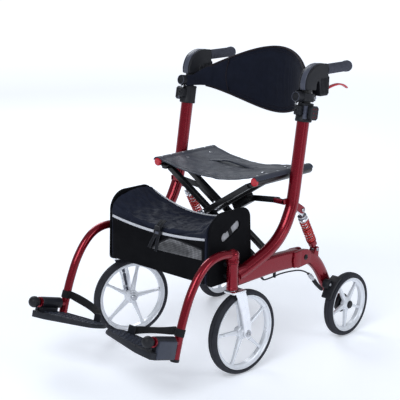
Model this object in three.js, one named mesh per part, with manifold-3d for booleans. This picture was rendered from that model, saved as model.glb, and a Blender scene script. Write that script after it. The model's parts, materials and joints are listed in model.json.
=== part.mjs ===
// A four-wheeled rollator walker with a seat, swing-away footrests and an X-brace that folds sideways.
// Units are millimetres. +X is the user's left, -Y is forward and +Z is up; the floor is at Z = 0.
// The left half is drawn once and the right half is its mirror, apart from how far its caster has turned.
import * as THREE from "three";
import { mergeVertices } from "three/addons/utils/BufferGeometryUtils.js";
import Module from "manifold-3d";

const wasm = await Module();
wasm.setup();

// ---------- driving dimensions ----------
const GAP = 0.3; // between pieces that touch on the real object
const FRAME_X = 235; // plane of each side frame, from the middle of the walker
const TUBE_R = 19; // upright tube
const RAIL_HALF_W = 14; // lower rail, an upright oval
const RAIL_HALF_H = 25;

const STEM_Y = -129; // caster stem
const TRAIL = 43.3; // axle behind the stem
const HEAD_R = 17;
const HEAD_BOTTOM = 266;
const HEAD_TOP = 345;
const STEM_R = 8;

const FRONT_R = 127; // 10 inch wheel
const FRONT_RIM_R = 112.5;
const REAR_R = 102.5; // 8 inch wheel
const REAR_RIM_R = 87;
const TYRE_HALF_W = 16;
const REAR_X = 270.5; // rear wheel's middle plane
const REAR_Y = 388;
const WHEEL_SIDES = 30;
const SPOKES = 5;

const MAST_Y = 179; // a point on the upright's straight upper part
const MAST_Z = 713;
const MAST_LEAN = 0.16; // radians backwards
const POST_R = 15; // handle post, telescoping in the upright
const POST_DEPTH = 150; // how far the post reaches down into the upright
const MAST_TOP = 30; // end of the upright above MAST_Z, along the mast

const ARM_PIVOT_X = 200; // X-brace: lower pivots on the side frames
const ARM_PIVOT_Z = 300;
const CROSS_Z = 427; // X-brace: centre pivot
const SEAT_RAIL_X = 197;
const SEAT_RAIL_Z = 552;
const SEAT_FRONT_Y = 6;
const SEAT_REAR_Y = 270;
const SEAT_RAIL_R = 13;
const BRACE_W = 17; // square tube
const BRACE_A_Y = [35, 100]; // middles of the two tubes of each arm
const BRACE_B_Y = [12, 77];

const LINK_X = 200; // stabiliser link's pivot on the side frame
const LINK_Y = 116;
const LINK_Z = 480;
const LINK_PIN = { x: 99.6, z: 469 }; // its free end rides in a slotted bracket on the arm

const SUSPENSION = { y: 190, z: 297 }; // rear arm's pivot
const SHOCK_TOP = { y: 176, z: 446 };
const SHOCK_BOTTOM = { y: 258, z: 306 };

const FOOT_Y = -358; // footplate pivot where it leaves the hanger
const FOOT_Z = 168;
const FOOT_PITCH = 0.27; // radians, toes up
const FOOT_RISE = 0.06; // radians, inner end up
const PLATE_DROP = 26; // plate's top below the pivot
const PLATE_THICK = 20;

const BAG_X = 197; // inner face of the bag's side panel
const BAG_FRONT = -197;
const BAG_REAR = -9;
const BAG_BOTTOM = 277;
const BAG_TOP = 490;

// ---------- materials ----------
const red = { color: 0x7c1226, roughness: 0.25, metalness: 0.6 };
const blackMetal = { color: 0x141416, roughness: 0.35, metalness: 0.4 };
const blackPlastic = { color: 0x1c1d20, roughness: 0.55, metalness: 0 };
const darkRubber = { color: 0x34363c, roughness: 0.8, metalness: 0 };
const gripRubber = { color: 0x3d3f49, roughness: 0.75, metalness: 0 };
const rimPlastic = { color: 0xc9cdd4, roughness: 0.4, metalness: 0.1 };
const polished = { color: 0xc4c6ca, roughness: 0.25, metalness: 1 };
const seatNylon = { color: 0x3a3e48, roughness: 0.8, metalness: 0 };
const navyFabric = { color: 0x1b1e27, roughness: 0.85, metalness: 0 };
const bagNylon = { color: 0x15171f, roughness: 0.6, metalness: 0 };
const redCap = { color: 0xc01826, roughness: 0.4, metalness: 0 };
const webbing = { color: 0x1d1e21, roughness: 0.9, metalness: 0 };

// ---------- solids ----------
// A three.js geometry as a manifold-3d solid, moved by a matrix and turned to face out.
function solid(geometry, matrix = new THREE.Matrix4()) {
  const bare = geometry.clone().applyMatrix4(matrix);
  bare.deleteAttribute("normal");
  bare.deleteAttribute("uv");
  const merged = mergeVertices(bare, 1e-3);
  const vertProperties = merged.attributes.position.array;
  const build = (order) =>
    new wasm.Manifold(new wasm.Mesh({ numProp: 3, vertProperties, triVerts: order }));
  const triVerts = new Uint32Array(merged.index.array);
  const made = build(triVerts);
  return made.volume() > 0 ? made : build(triVerts.map((_, i) => triVerts[i - (i % 3) + 2 - (i % 3)]));
}

const join = (first, ...rest) => rest.reduce((whole, part) => whole.add(part), first);
const cut = (first, ...rest) => rest.reduce((whole, part) => whole.subtract(part), first);

function geometryOf(manifold) {
  const { vertProperties, triVerts } = manifold.getMesh();
  const indexed = new THREE.BufferGeometry();
  indexed.setAttribute("position", new THREE.BufferAttribute(new Float32Array(vertProperties), 3));
  indexed.setIndex(new THREE.BufferAttribute(new Uint32Array(triVerts), 1));
  const flat = indexed.toNonIndexed();
  flat.computeVertexNormals();
  return flat;
}

function mesh(name, manifold, finish) {
  const made = new THREE.Mesh(geometryOf(manifold), new THREE.MeshStandardMaterial(finish));
  made.name = name;
  return made;
}

const at = (x, y, z) => new THREE.Matrix4().makeTranslation(x, y, z);
const point = (x, y, z) => new THREE.Vector3(x, y, z);

// A box from its lowest and highest corners.
function block(low, high) {
  const size = high.map((value, axis) => value - low[axis]);
  const middle = high.map((value, axis) => (value + low[axis]) / 2);
  return solid(new THREE.BoxGeometry(...size), at(...middle));
}

// A round bar from one point to another; its radius may differ at the far end.
function bar(from, to, radius, sides = 16, endRadius = radius) {
  const along = to.clone().sub(from);
  const turn = new THREE.Quaternion().setFromUnitVectors(point(0, 1, 0), along.clone().normalize());
  const middle = from.clone().add(to).multiplyScalar(0.5);
  const place = new THREE.Matrix4().compose(middle, turn, point(1, 1, 1));
  return solid(new THREE.CylinderGeometry(endRadius, radius, along.length(), sides), place);
}

// A bar along X, between two distances from the middle plane.
const cross = (x0, x1, y, z, radius, sides) => bar(point(x0, y, z), point(x1, y, z), radius, sides);

function ball(centre, radius, sides = 16) {
  return solid(new THREE.SphereGeometry(radius, sides, sides / 2), at(...centre));
}

// An ellipse as a section, with its first half axis across (X) and its second in the path's plane.
function oval(across, deep, sides = 20) {
  const corner = (_, i) => {
    const angle = (i / sides) * 2 * Math.PI;
    return new THREE.Vector2(across * Math.cos(angle), deep * Math.sin(angle));
  };
  return new THREE.Shape(Array.from({ length: sides }, corner));
}

// A section swept along a smooth curve through some points.
function sweep(points, section, steps) {
  const path = new THREE.CatmullRomCurve3(points, false, "centripetal");
  return solid(new THREE.ExtrudeGeometry(section, { steps, extrudePath: path, bevelEnabled: false }));
}

// Points in a side frame's plane, from [y, z] pairs.
const inPlane = (pairs, x = FRAME_X) => pairs.map(([y, z]) => point(x, y, z));

// An outline in Y and Z given thickness along X.
const fromYZ = new THREE.Matrix4().makeBasis(point(0, 1, 0), point(0, 0, 1), point(1, 0, 0));
function plate(shape, x0, x1, bevel = 0) {
  const geometry = new THREE.ExtrudeGeometry(shape, {
    depth: x1 - x0 - 2 * bevel,
    bevelEnabled: bevel > 0,
    bevelSize: bevel,
    bevelOffset: -bevel,
    bevelThickness: bevel,
    bevelSegments: 1,
    curveSegments: 6,
  });
  return solid(geometry, at(x0 + bevel, 0, 0).multiply(fromYZ));
}

const polygon = (pairs) => new THREE.Shape(pairs.map(([a, b]) => new THREE.Vector2(a, b)));

// Two circles joined by their tangents, as a lever or lug is.
function lug([y0, z0], r0, [y1, z1], r1, sides = 16) {
  const heading = Math.atan2(z1 - z0, y1 - y0);
  const lean = Math.acos((r0 - r1) / Math.hypot(y1 - y0, z1 - z0));
  const outline = [];
  const arc = (y, z, r, start, end) => {
    for (let i = 0; i <= sides / 2; i++) {
      const angle = start + ((end - start) * i) / (sides / 2);
      outline.push([y + r * Math.cos(angle), z + r * Math.sin(angle)]);
    }
  };
  arc(y1, z1, r1, heading - lean, heading + lean);
  arc(y0, z0, r0, heading + lean, heading - lean + 2 * Math.PI);
  return polygon(outline);
}

// A profile of [distance along X, radius] pairs turned about the X axis, with a flat at the bottom.
function turned(profile, sides = WHEEL_SIDES) {
  const grow = 1 / Math.cos(Math.PI / sides);
  const pairs = profile.map(([along, radius]) => new THREE.Vector2(radius * grow, along));
  const geometry = new THREE.LatheGeometry(pairs, sides, Math.PI / sides, 2 * Math.PI);
  return solid(geometry, new THREE.Matrix4().makeRotationZ(-Math.PI / 2));
}

// ---------- wheels, about their own middle ----------
function tyre(radius, rimRadius) {
  const inner = rimRadius + 0.5;
  const shoulder = radius - 7;
  const wall = TYRE_HALF_W;
  return turned([
    [-wall + 3, inner],
    [-wall, shoulder],
    [-wall + 4, radius - 2],
    [-8, radius],
    [8, radius],
    [wall - 4, radius - 2],
    [wall, shoulder],
    [wall - 3, inner],
    [-wall + 3, inner],
  ]);
}

function rim(radius, hubRadius, hubReach, boreRadius) {
  const wall = 12;
  const lip = 14;
  const ring = turned([
    [-lip, radius - 8],
    [-lip, radius],
    [lip, radius],
    [lip, radius - 8],
    [0, radius - wall],
    [-lip, radius - 8],
  ]);
  const hub = cross(-hubReach, hubReach, 0, 0, hubRadius, 16);
  const spokes = Array.from({ length: SPOKES }, (_, i) => {
    const outline = polygon([
      [-11, 4],
      [11, 4],
      [6, radius - wall + 3],
      [-6, radius - wall + 3],
    ]);
    const turn = new THREE.Matrix4().makeRotationX((i / SPOKES) * 2 * Math.PI);
    return solid(
      new THREE.ExtrudeGeometry(outline, { depth: 12, bevelEnabled: false }),
      turn.multiply(at(-6, 0, 0)).multiply(fromYZ),
    );
  });
  return cut(join(ring, hub, ...spokes), cross(-60, 60, 0, 0, boreRadius, 12));
}

// ---------- one side frame and what is fixed to it ----------
const mastMatrix = at(FRAME_X, MAST_Y, MAST_Z).multiply(new THREE.Matrix4().makeRotationX(-MAST_LEAN));

function mastBar(z0, z1, radius, sides) {
  return bar(point(0, 0, z0), point(0, 0, z1), radius, sides);
}

function sideFrame(braceYs) {
  const mast = (z) => {
    const top = point(0, 0, z).applyMatrix4(mastMatrix);
    return [top.y, top.z];
  };
  const upright = sweep(
    inPlane([
      mast(MAST_TOP),
      mast(-60),
      mast(-150),
      [143, 492],
      [137, 466],
      [123, 436],
      [104, 404],
      [72, 372],
      [30, 348],
      [-28, 327],
      [-76, 312],
      [-112, 303],
    ]),
    oval(TUBE_R, TUBE_R, 16),
    18,
  );
  const lowerRail = sweep(
    inPlane([
      [-118, 302],
      [-30, 303],
      [70, 303],
      [164, 297],
    ]),
    oval(RAIL_HALF_W, RAIL_HALF_H, 16),
    4,
  );
  const head = join(
    bar(point(FRAME_X, STEM_Y, HEAD_BOTTOM), point(FRAME_X, STEM_Y, HEAD_TOP), HEAD_R, 20),
    bar(point(FRAME_X, STEM_Y, HEAD_TOP - 4), point(FRAME_X, STEM_Y, HEAD_TOP + 26), STEM_R, 12),
  );
  // Rear clevis: two cheeks hold the suspension arm, with its pivot bolt through them.
  const cheek = (x) =>
    plate(lug([158, 297], 27, [SUSPENSION.y + 4, SUSPENSION.z], 24), FRAME_X + x - 2.4, FRAME_X + x + 2.4);
  const clevis = join(
    block([FRAME_X - 19.4, 138, 276], [FRAME_X + 19.4, 163, 320]),
    cheek(-17),
    cheek(17),
    cross(FRAME_X - 21, FRAME_X + 21, SUSPENSION.y, SUSPENSION.z, 5, 12),
    cross(FRAME_X + 19, FRAME_X + 23, SUSPENSION.y, SUSPENSION.z, 8, 6),
  );
  // Shock bracket: two ears on the back of the upright, with the upper shock bolt.
  const ear = (x) =>
    plate(lug([136, 470], 12, [SHOCK_TOP.y, SHOCK_TOP.z], 11), FRAME_X + x - 2.5, FRAME_X + x + 2.5);
  const shockBracket = join(
    ear(-10.5),
    ear(10.5),
    cross(FRAME_X - 14, FRAME_X + 14, SHOCK_TOP.y, SHOCK_TOP.z, 4, 12),
  );
  // Lug for the stabiliser link, in front of the upright.
  const linkLug = join(
    block([LINK_X - 9, LINK_Y - 13, LINK_Z - 8], [FRAME_X, LINK_Y - 4, LINK_Z + 8]),
    block([FRAME_X - 14, LINK_Y - 13, LINK_Z - 8], [FRAME_X - 4, LINK_Y + 14, LINK_Z + 8]),
    bar(point(LINK_X, LINK_Y - 6, LINK_Z), point(LINK_X, LINK_Y + 6, LINK_Z), 4, 12),
  );
  // Lower brace bracket: a lug each side of the brace's pivot tube, with its bolt.
  const braceLug = (y) =>
    block([ARM_PIVOT_X - 9, y, ARM_PIVOT_Z - 11], [FRAME_X - 8, y + 5, ARM_PIVOT_Z + 11]);
  const braceFront = braceYs[0] - BRACE_W / 2;
  const braceBack = braceYs[1] + BRACE_W / 2;
  const braceBracket = join(
    braceLug(braceFront - 6),
    braceLug(braceBack + 1),
    bar(
      point(ARM_PIVOT_X, braceFront - 4, ARM_PIVOT_Z),
      point(ARM_PIVOT_X, braceBack + 4, ARM_PIVOT_Z),
      5,
      12,
    ),
  );
  const hollow = mastBar(-POST_DEPTH - 12, MAST_TOP + 10, POST_R + GAP, 20).transform(
    mastMatrix.elements,
  );
  const stemBore = bar(
    point(FRAME_X, STEM_Y, HEAD_BOTTOM - 5),
    point(FRAME_X, STEM_Y, HEAD_BOTTOM + 42),
    STEM_R + GAP,
    16,
  );
  return cut(
    join(upright, lowerRail, head, clevis, shockBracket, linkLug, braceBracket),
    hollow,
    stemBore,
  );
}

// Stiff side panel of the bag, with its carrying slot, fixed inside the head tube.
function bagPanel() {
  const outline = new THREE.Shape();
  outline.moveTo(BAG_FRONT, BAG_BOTTOM + 16);
  outline.quadraticCurveTo(BAG_FRONT, BAG_BOTTOM, BAG_FRONT + 16, BAG_BOTTOM);
  outline.lineTo(BAG_REAR - 26, BAG_BOTTOM);
  outline.quadraticCurveTo(BAG_REAR, BAG_BOTTOM, BAG_REAR, BAG_BOTTOM + 26);
  outline.lineTo(BAG_REAR - 8, BAG_TOP - 52);
  outline.quadraticCurveTo(BAG_REAR - 14, BAG_TOP - 4, BAG_REAR - 62, BAG_TOP);
  outline.quadraticCurveTo(BAG_FRONT + 52, BAG_TOP + 2, BAG_FRONT + 4, BAG_BOTTOM + 160);
  const slot = new THREE.Path();
  const [lowY, lowZ, highY, highZ] = [-130, 414, -76, 440];
  slot.absarc(lowY, lowZ, 13, 0.4 * Math.PI, 1.6 * Math.PI, false);
  slot.absarc(highY, highZ, 13, -0.4 * Math.PI, 0.6 * Math.PI, false);
  outline.holes.push(slot);
  const boss = (y, z, end) => cross(BAG_X + 4, end - GAP, y, z, 6, 12);
  return join(
    plate(outline, BAG_X, BAG_X + 8),
    boss(STEM_Y, 300, FRAME_X - HEAD_R),
    boss(STEM_Y, 335, FRAME_X - HEAD_R),
    boss(-50, 289, FRAME_X - RAIL_HALF_W),
  );
}

// ---------- mast parts, along the mast from MAST_Z ----------
const COLLAR_FLAT = -21.3; // inner side, flat to let the seat rail rise past it
function collar() {
  const body = join(mastBar(1, 57, 25, 20), block([-12, -38, 20], [12, -10, 48]));
  return cut(
    body,
    mastBar(-10, MAST_TOP + 1, TUBE_R + GAP + 0.2, 20),
    mastBar(0, 60, POST_R + GAP, 20),
    block([-40, -40, -20], [COLLAR_FLAT, 40, 60]),
  );
}

// Wing knob on the collar's outer face; its screw's head is sunk in the wing.
function collarKnob() {
  const wing = plate(
    polygon([
      [-19, -15],
      [-12, -21],
      [12, -21],
      [19, -15],
      [19, 15],
      [12, 21],
      [-12, 21],
      [-19, 15],
    ]),
    28.5,
    38,
    2,
  );
  return join(wing, cross(25.5, 29.5, 0, 0, 10, 16)).translate([0, 0, 30]);
}

function handleArm() {
  // The hooked moulding, in Y and Z from the mast's origin, untilted.
  const hook = new THREE.Shape();
  hook.moveTo(-6, 97);
  hook.quadraticCurveTo(-10, 128, 10, 150);
  hook.quadraticCurveTo(30, 168, 58, 168);
  hook.lineTo(98, 165);
  hook.lineTo(98, 130);
  hook.lineTo(104, 126);
  hook.lineTo(102, 78);
  hook.lineTo(96, 70);
  hook.lineTo(60, 71);
  hook.lineTo(55, 116);
  hook.quadraticCurveTo(47, 122, 40, 92);
  const untilt = new THREE.Matrix4().makeRotationX(MAST_LEAN);
  const moulding = plate(hook, -15, 15, 4).transform(untilt.elements);
  const gripCore = bar(point(0, 94, 147), point(0, 210, 147), 9, 16).transform(untilt.elements);
  const post = mastBar(-POST_DEPTH, 100, POST_R, 20);
  return join(moulding, post, gripCore);
}

function grip() {
  const untilt = new THREE.Matrix4().makeRotationX(MAST_LEAN);
  const profile = [
    [100, 15],
    [136, 14.4],
    [191, 14.6],
    [204, 17],
    [216, 16],
    [222, 10],
  ];
  const pairs = [[100, 9.3], ...profile, [222, 0], [212, 0], [212, 9.3], [100, 9.3]];
  const geometry = new THREE.LatheGeometry(
    pairs.map(([along, radius]) => new THREE.Vector2(radius, along)),
    20,
  );
  return solid(geometry, untilt.multiply(at(0, 0, 147)));
}

// Band that clamps the backrest to the post, with its round boss at the front.
function bandClamp() {
  const ring = join(mastBar(61, 86, 24, 24), bar(point(-4, -18, 73), point(-4, -48, 73), 16, 16));
  return cut(ring, mastBar(50, 90, POST_R + GAP, 20));
}

// Brake lever under the grip, hinged in the moulding's rear lobe.
function brakeLever() {
  const untilt = new THREE.Matrix4().makeRotationX(MAST_LEAN);
  const blade = sweep(
    inPlane(
      [
        [108, 87],
        [130, 92],
        [164, 95],
        [188, 91],
        [214, 80],
      ],
      0,
    ),
    oval(6, 3, 8),
    8,
  );
  return blade.transform(untilt.elements);
}

// ---------- front caster, about its stem: one leg, on the wheel's outer side ----------
function casterFork() {
  const stem = bar(point(0, 0, HEAD_BOTTOM - 6), point(0, 0, HEAD_BOTTOM + 36), STEM_R, 16);
  const crown = block([-14, -20, HEAD_BOTTOM - 9], [27, 34, HEAD_BOTTOM - GAP]);
  const leg = plate(
    polygon([
      [-20, HEAD_BOTTOM - GAP],
      [34, HEAD_BOTTOM - GAP],
      [50, 190],
      [58, FRONT_R + 2],
      [54, FRONT_R - 10],
      [43, FRONT_R - 15],
      [32, FRONT_R - 9],
      [28, FRONT_R + 6],
      [14, 190],
      [-8, 235],
    ]),
    21,
    27,
  );
  return cut(join(stem, crown, leg), cross(10, 40, TRAIL, FRONT_R, 4.4, 12));
}

function frontAxle() {
  return join(
    cross(-22, 30, 0, 0, 4, 12),
    cross(-24, -18.6, 0, 0, 9, 16),
    cross(27.3, 32, 0, 0, 7, 6),
  );
}

// ---------- rear suspension ----------
function rearArm() {
  const beam = sweep(
    inPlane([
      [174, 296],
      [205, 293],
      [238, 280],
      [268, 256],
      [294, 224],
      [318, 186],
      [346, 148],
      [392, 104],
    ]),
    oval(14, 22, 14),
    9,
  );
  const ear = (x) =>
    plate(
      lug([SHOCK_BOTTOM.y - 8, SHOCK_BOTTOM.z - 26], 14, [SHOCK_BOTTOM.y, SHOCK_BOTTOM.z], 9),
      FRAME_X + x - 2.4,
      FRAME_X + x + 2.4,
    );
  const body = join(
    beam,
    ear(-9),
    ear(9),
    cross(FRAME_X - 13, FRAME_X + 13, SHOCK_BOTTOM.y, SHOCK_BOTTOM.z, 4, 12),
    cross(FRAME_X + 8, REAR_X - 11, REAR_Y, REAR_R, 34, 24),
    cross(FRAME_X + 8, REAR_X + 18, REAR_Y, REAR_R, 6, 16),
  );
  const freeSpace = block(
    [FRAME_X - 6.5, SHOCK_BOTTOM.y - 16, SHOCK_BOTTOM.z - 12.5],
    [FRAME_X + 6.5, SHOCK_BOTTOM.y + 16, SHOCK_BOTTOM.z - 4.1],
  );
  const front = block([FRAME_X - 30, 100, 200], [FRAME_X + 30, 175, 360]);
  return cut(
    body,
    cross(FRAME_X - 30, FRAME_X + 30, SUSPENSION.y, SUSPENSION.z, 5.4, 12),
    freeSpace,
    front,
  );
}

// Brake shoe housing that arches over the front of the rear tyre.
function brakeHousing() {
  const outline = [];
  const arc = (radius, start, end) => {
    for (let i = 0; i <= 6; i++) {
      const angle = ((start + ((end - start) * i) / 6) * Math.PI) / 180;
      outline.push([REAR_Y + radius * Math.cos(angle), REAR_R + radius * Math.sin(angle)]);
    }
  };
  arc(REAR_R + 4, 152, 98);
  arc(REAR_R + 20, 98, 152);
  const shell = plate(polygon(outline), FRAME_X + 14.5, REAR_X + 15, 3);
  const root = bar(point(FRAME_X + 14.5, 300, 184), point(REAR_X, 300, 184), 16, 12);
  return cut(join(shell, root), cross(FRAME_X, REAR_X + 40, REAR_Y, REAR_R, REAR_R + 3.5, 36));
}

// The shock's own frame: origin at its upper bolt, -Z towards the lower one.
const shockLength = Math.hypot(SHOCK_BOTTOM.y - SHOCK_TOP.y, SHOCK_BOTTOM.z - SHOCK_TOP.z);
const shockLean = Math.atan2(SHOCK_BOTTOM.y - SHOCK_TOP.y, SHOCK_TOP.z - SHOCK_BOTTOM.z);
const SPRING_TOP = -42;
const SPRING_BOTTOM = -125;

function shockBody() {
  const eye = cut(
    join(cross(-7, 7, 0, 0, 9, 16), block([-7, -7, -26], [7, 7, 0])),
    cross(-20, 20, 0, 0, 4.4, 12),
  );
  const cap = mastBar(SPRING_TOP + 1, -22, 15, 20);
  const cylinder = mastBar(-96, SPRING_TOP + 6, 7.5, 16);
  return cut(join(eye, cap, cylinder), mastBar(-100, -58, 4.4, 12));
}

function shockRod() {
  const rod = mastBar(SPRING_BOTTOM - 6, -70, 4, 12);
  const perch = mastBar(SPRING_BOTTOM - 6, SPRING_BOTTOM - 1, 15, 20);
  const neck = block([-10, -10, SPRING_BOTTOM - 24], [10, 10, SPRING_BOTTOM - 4]);
  const eye = join(
    cross(-5.5, 5.5, 0, -shockLength, 8, 16),
    block([-5.5, -6, -shockLength], [5.5, 6, SPRING_BOTTOM - 20]),
  );
  return cut(join(rod, perch, neck, eye), cross(-20, 20, 0, -shockLength, 5, 12));
}

function shockSpring() {
  const turns = 6;
  const perTurn = 8;
  const wire = 2.2;
  const coil = 12;
  const helix = [];
  for (let i = 0; i <= turns * perTurn; i++) {
    const angle = (i / perTurn) * 2 * Math.PI;
    const drop = (i / (turns * perTurn)) * (SPRING_BOTTOM - SPRING_TOP + 2 * wire);
    helix.push(point(coil * Math.cos(angle), coil * Math.sin(angle), SPRING_TOP - wire + drop));
  }
  return sweep(helix, oval(wire, wire, 4), turns * perTurn);
}

// ---------- footrest ----------
// The foot's own frame: origin on its pivot at the hanger, -Y along the pivot to the knob.
const footMatrix = at(FRAME_X, FOOT_Y, FOOT_Z).multiply(
  new THREE.Matrix4().makeRotationX(-FOOT_PITCH),
);
const STUB_R = 11;
const STUB_END = -99;

function hanger() {
  const socket = bar(
    point(FRAME_X, STEM_Y, HEAD_TOP + 0.5),
    point(FRAME_X, STEM_Y, HEAD_TOP + 36),
    19,
    24,
    17,
  );
  const tube = sweep(
    inPlane([
      [STEM_Y, 368],
      [-168, 376],
      [-206, 374],
      [-241, 361],
      [-274, 333],
      [-303, 293],
      [-323, 252],
      [-340, 208],
      [-357, 152],
      [-369, 106],
    ]),
    oval(12.5, 12.5, 14),
    14,
  );
  const stub = bar(point(0, 0, 0), point(0, STUB_END, 0), STUB_R, 16).transform(footMatrix.elements);
  const ring = bar(point(0, -93, 0), point(0, STUB_END, 0), 15, 20).transform(footMatrix.elements);
  const bore = bar(
    point(FRAME_X, STEM_Y, HEAD_TOP - 5),
    point(FRAME_X, STEM_Y, HEAD_TOP + 28),
    STEM_R + GAP,
    16,
  );
  return cut(join(socket, tube, stub, ring), bore);
}

function footplate() {
  const sleeve = bar(point(0, -16, 0), point(0, -92.4, 0), 16, 20);
  const wall = block([8, -92, -PLATE_DROP - 6], [20, -16, 0]);
  const outline = new THREE.Shape();
  outline.moveTo(20, -92);
  outline.lineTo(14, -99);
  outline.lineTo(-40, -99);
  outline.lineTo(-189, -71);
  outline.quadraticCurveTo(-213.5, -62, -213.5, -38);
  outline.quadraticCurveTo(-213.5, -8, -189, -5);
  outline.lineTo(-24, -5);
  outline.lineTo(-19, -14);
  outline.lineTo(20, -14);
  const bevel = 1.5;
  const slab = solid(
    new THREE.ExtrudeGeometry(outline, {
      depth: PLATE_THICK - 2 * bevel,
      bevelEnabled: true,
      bevelSize: bevel,
      bevelOffset: -bevel,
      bevelThickness: bevel,
      bevelSegments: 1,
      curveSegments: 4,
    }),
    new THREE.Matrix4().makeRotationY(FOOT_RISE).multiply(at(0, 0, bevel - PLATE_DROP - PLATE_THICK)),
  );
  return cut(join(sleeve, wall, slab), bar(point(0, 5, 0), point(0, -110, 0), STUB_R + 0.6, 16));
}

function footKnob() {
  return ball([0, -117, 0], 17, 12);
}

// Heel strap: webbing on edge, from the hanger to the plate's inner rear corner.
function heelStrap() {
  const route = [
    point(FRAME_X - 14.5, -342, 205),
    point(FRAME_X - 48, -322, 184),
    point(FRAME_X - 92, -312, 172),
    point(FRAME_X - 132, -318, 166),
    point(FRAME_X - 158, -328, 164),
  ];
  const half = 12;
  const thick = 1.2;
  const path = new THREE.CatmullRomCurve3(route);
  const steps = 10;
  const vertices = [];
  for (let i = 0; i <= steps; i++) {
    const centre = path.getPointAt(i / steps);
    const along = path.getTangentAt(i / steps);
    const side = point(-along.y, along.x, 0).normalize().multiplyScalar(thick);
    const up = point(0, 0, half);
    for (const [s, u] of [[1, 1], [1, -1], [-1, -1], [-1, 1]]) {
      vertices.push(centre.clone().addScaledVector(side, s).addScaledVector(up, u));
    }
  }
  const faces = [0, 1, 2, 0, 2, 3];
  for (let i = 0; i < steps; i++) {
    for (let k = 0; k < 4; k++) {
      const a = 4 * i + k;
      const b = 4 * i + ((k + 1) % 4);
      faces.push(a, a + 4, b, b, a + 4, b + 4);
    }
  }
  const last = 4 * steps;
  faces.push(last, last + 2, last + 1, last, last + 3, last + 2);
  const geometry = new THREE.BufferGeometry().setFromPoints(vertices);
  geometry.setIndex(faces);
  return solid(geometry);
}

// Brake cable: out of the lower rail, along under it and down to the brake housing.
const CABLE_ROUTE = [
  [FRAME_X, -2, 276],
  [FRAME_X, 12, 262],
  [FRAME_X, 40, 260],
  [FRAME_X, 90, 262],
  [FRAME_X + 1, 140, 259],
  [FRAME_X + 3, 185, 252],
  [FRAME_X + 5, 220, 236],
  [FRAME_X + 8, 246, 210],
  [FRAME_X + 12, 262, 190],
  [FRAME_X + 17, 281, 171],
];

// ---------- X-brace and seat ----------
const braceSlope = Math.atan2(CROSS_Z - ARM_PIVOT_Z, ARM_PIVOT_X);

// An arm from its lower pivot at +X to its seat rail at -X.
function braceArm(ys) {
  const half = BRACE_W / 2;
  const run = point(-Math.cos(braceSlope), 0, Math.sin(braceSlope));
  const place = (y) =>
    new THREE.Matrix4()
      .makeTranslation(0, y, CROSS_Z)
      .multiply(new THREE.Matrix4().makeRotationY(braceSlope));
  const up = Math.hypot(SEAT_RAIL_X, SEAT_RAIL_Z - CROSS_Z) - SEAT_RAIL_R - 1;
  const tubeTop = up - 17;
  const down = Math.hypot(ARM_PIVOT_X, CROSS_Z - ARM_PIVOT_Z);
  const tubes = ys.map((y) =>
    cut(
      solid(
        new THREE.BoxGeometry(tubeTop + down, BRACE_W, BRACE_W),
        place(y).multiply(at((down - tubeTop) / 2, 0, 0)),
      ),
      bar(point(0, y - half - 1, CROSS_Z), point(0, y + half + 1, CROSS_Z), 4.5, 12),
    ),
  );
  const foot = bar(
    point(ARM_PIVOT_X, ys[0] - half, ARM_PIVOT_Z),
    point(ARM_PIVOT_X, ys[1] + half, ARM_PIVOT_Z),
    10,
    16,
  );
  const saddle = point(0, 0, CROSS_Z).addScaledVector(run, up - 7);
  const carrier = block(
    [saddle.x - 8, SEAT_FRONT_Y + 6, saddle.z - 8],
    [saddle.x + 12, SEAT_REAR_Y - 70, saddle.z + 4.5],
  );
  const railRoom = bar(
    point(-SEAT_RAIL_X, SEAT_FRONT_Y - 10, SEAT_RAIL_Z),
    point(-SEAT_RAIL_X, SEAT_REAR_Y + 10, SEAT_RAIL_Z),
    SEAT_RAIL_R + GAP,
    24,
  );
  const footBore = bar(
    point(ARM_PIVOT_X, ys[0] - 20, ARM_PIVOT_Z),
    point(ARM_PIVOT_X, ys[1] + 20, ARM_PIVOT_Z),
    5.4,
    12,
  );
  return cut(join(...tubes, foot, carrier, linkBracket(ys)), railRoom, footBore);
}

// Slotted bracket under an arm, in which the stabiliser link's pin slides.
const SLOT_FROM = 52;
const SLOT_TO = 112;
const SLOT_DROP = 19.2;
function linkBracket(ys) {
  const back = LINK_Y - 4.2;
  const front = ys[1] + BRACE_W / 2 - 1;
  const body = block([-SLOT_TO - 6, front, -SLOT_DROP - 12], [-SLOT_FROM + 6, back, -4]);
  const slot = block([-SLOT_TO, front - 1, -SLOT_DROP - 6], [-SLOT_FROM, back + 1, -SLOT_DROP + 6]);
  const place = at(0, 0, CROSS_Z).multiply(new THREE.Matrix4().makeRotationY(braceSlope));
  return cut(body, slot).transform(place.elements);
}

function seatRail() {
  return bar(
    point(SEAT_RAIL_X, SEAT_FRONT_Y + 3, SEAT_RAIL_Z),
    point(SEAT_RAIL_X, SEAT_REAR_Y, SEAT_RAIL_Z),
    SEAT_RAIL_R,
    24,
  );
}

function railCap() {
  return bar(
    point(SEAT_RAIL_X, SEAT_FRONT_Y + 2.7, SEAT_RAIL_Z),
    point(SEAT_RAIL_X, SEAT_FRONT_Y - 4, SEAT_RAIL_Z),
    SEAT_RAIL_R,
    24,
    11,
  );
}

function stabiliserLink() {
  const reach = point(LINK_PIN.x - LINK_X, 0, LINK_PIN.z - LINK_Z);
  const length = reach.length();
  const turn = new THREE.Matrix4()
    .makeTranslation(LINK_X, LINK_Y, LINK_Z)
    .multiply(new THREE.Matrix4().makeRotationY(Math.atan2(-reach.z, reach.x)));
  const body = join(
    block([0, -3, -8], [length, 3, 8]),
    bar(point(0, -3, 0), point(0, 3, 0), 9, 16),
    bar(point(length, -3, 0), point(length, 3, 0), 9, 16),
    bar(point(length, -10, 0), point(length, 0, 0), 4, 12),
  );
  return cut(body, bar(point(0, -8, 0), point(0, 8, 0), 4.4, 12)).transform(turn.elements);
}

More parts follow.
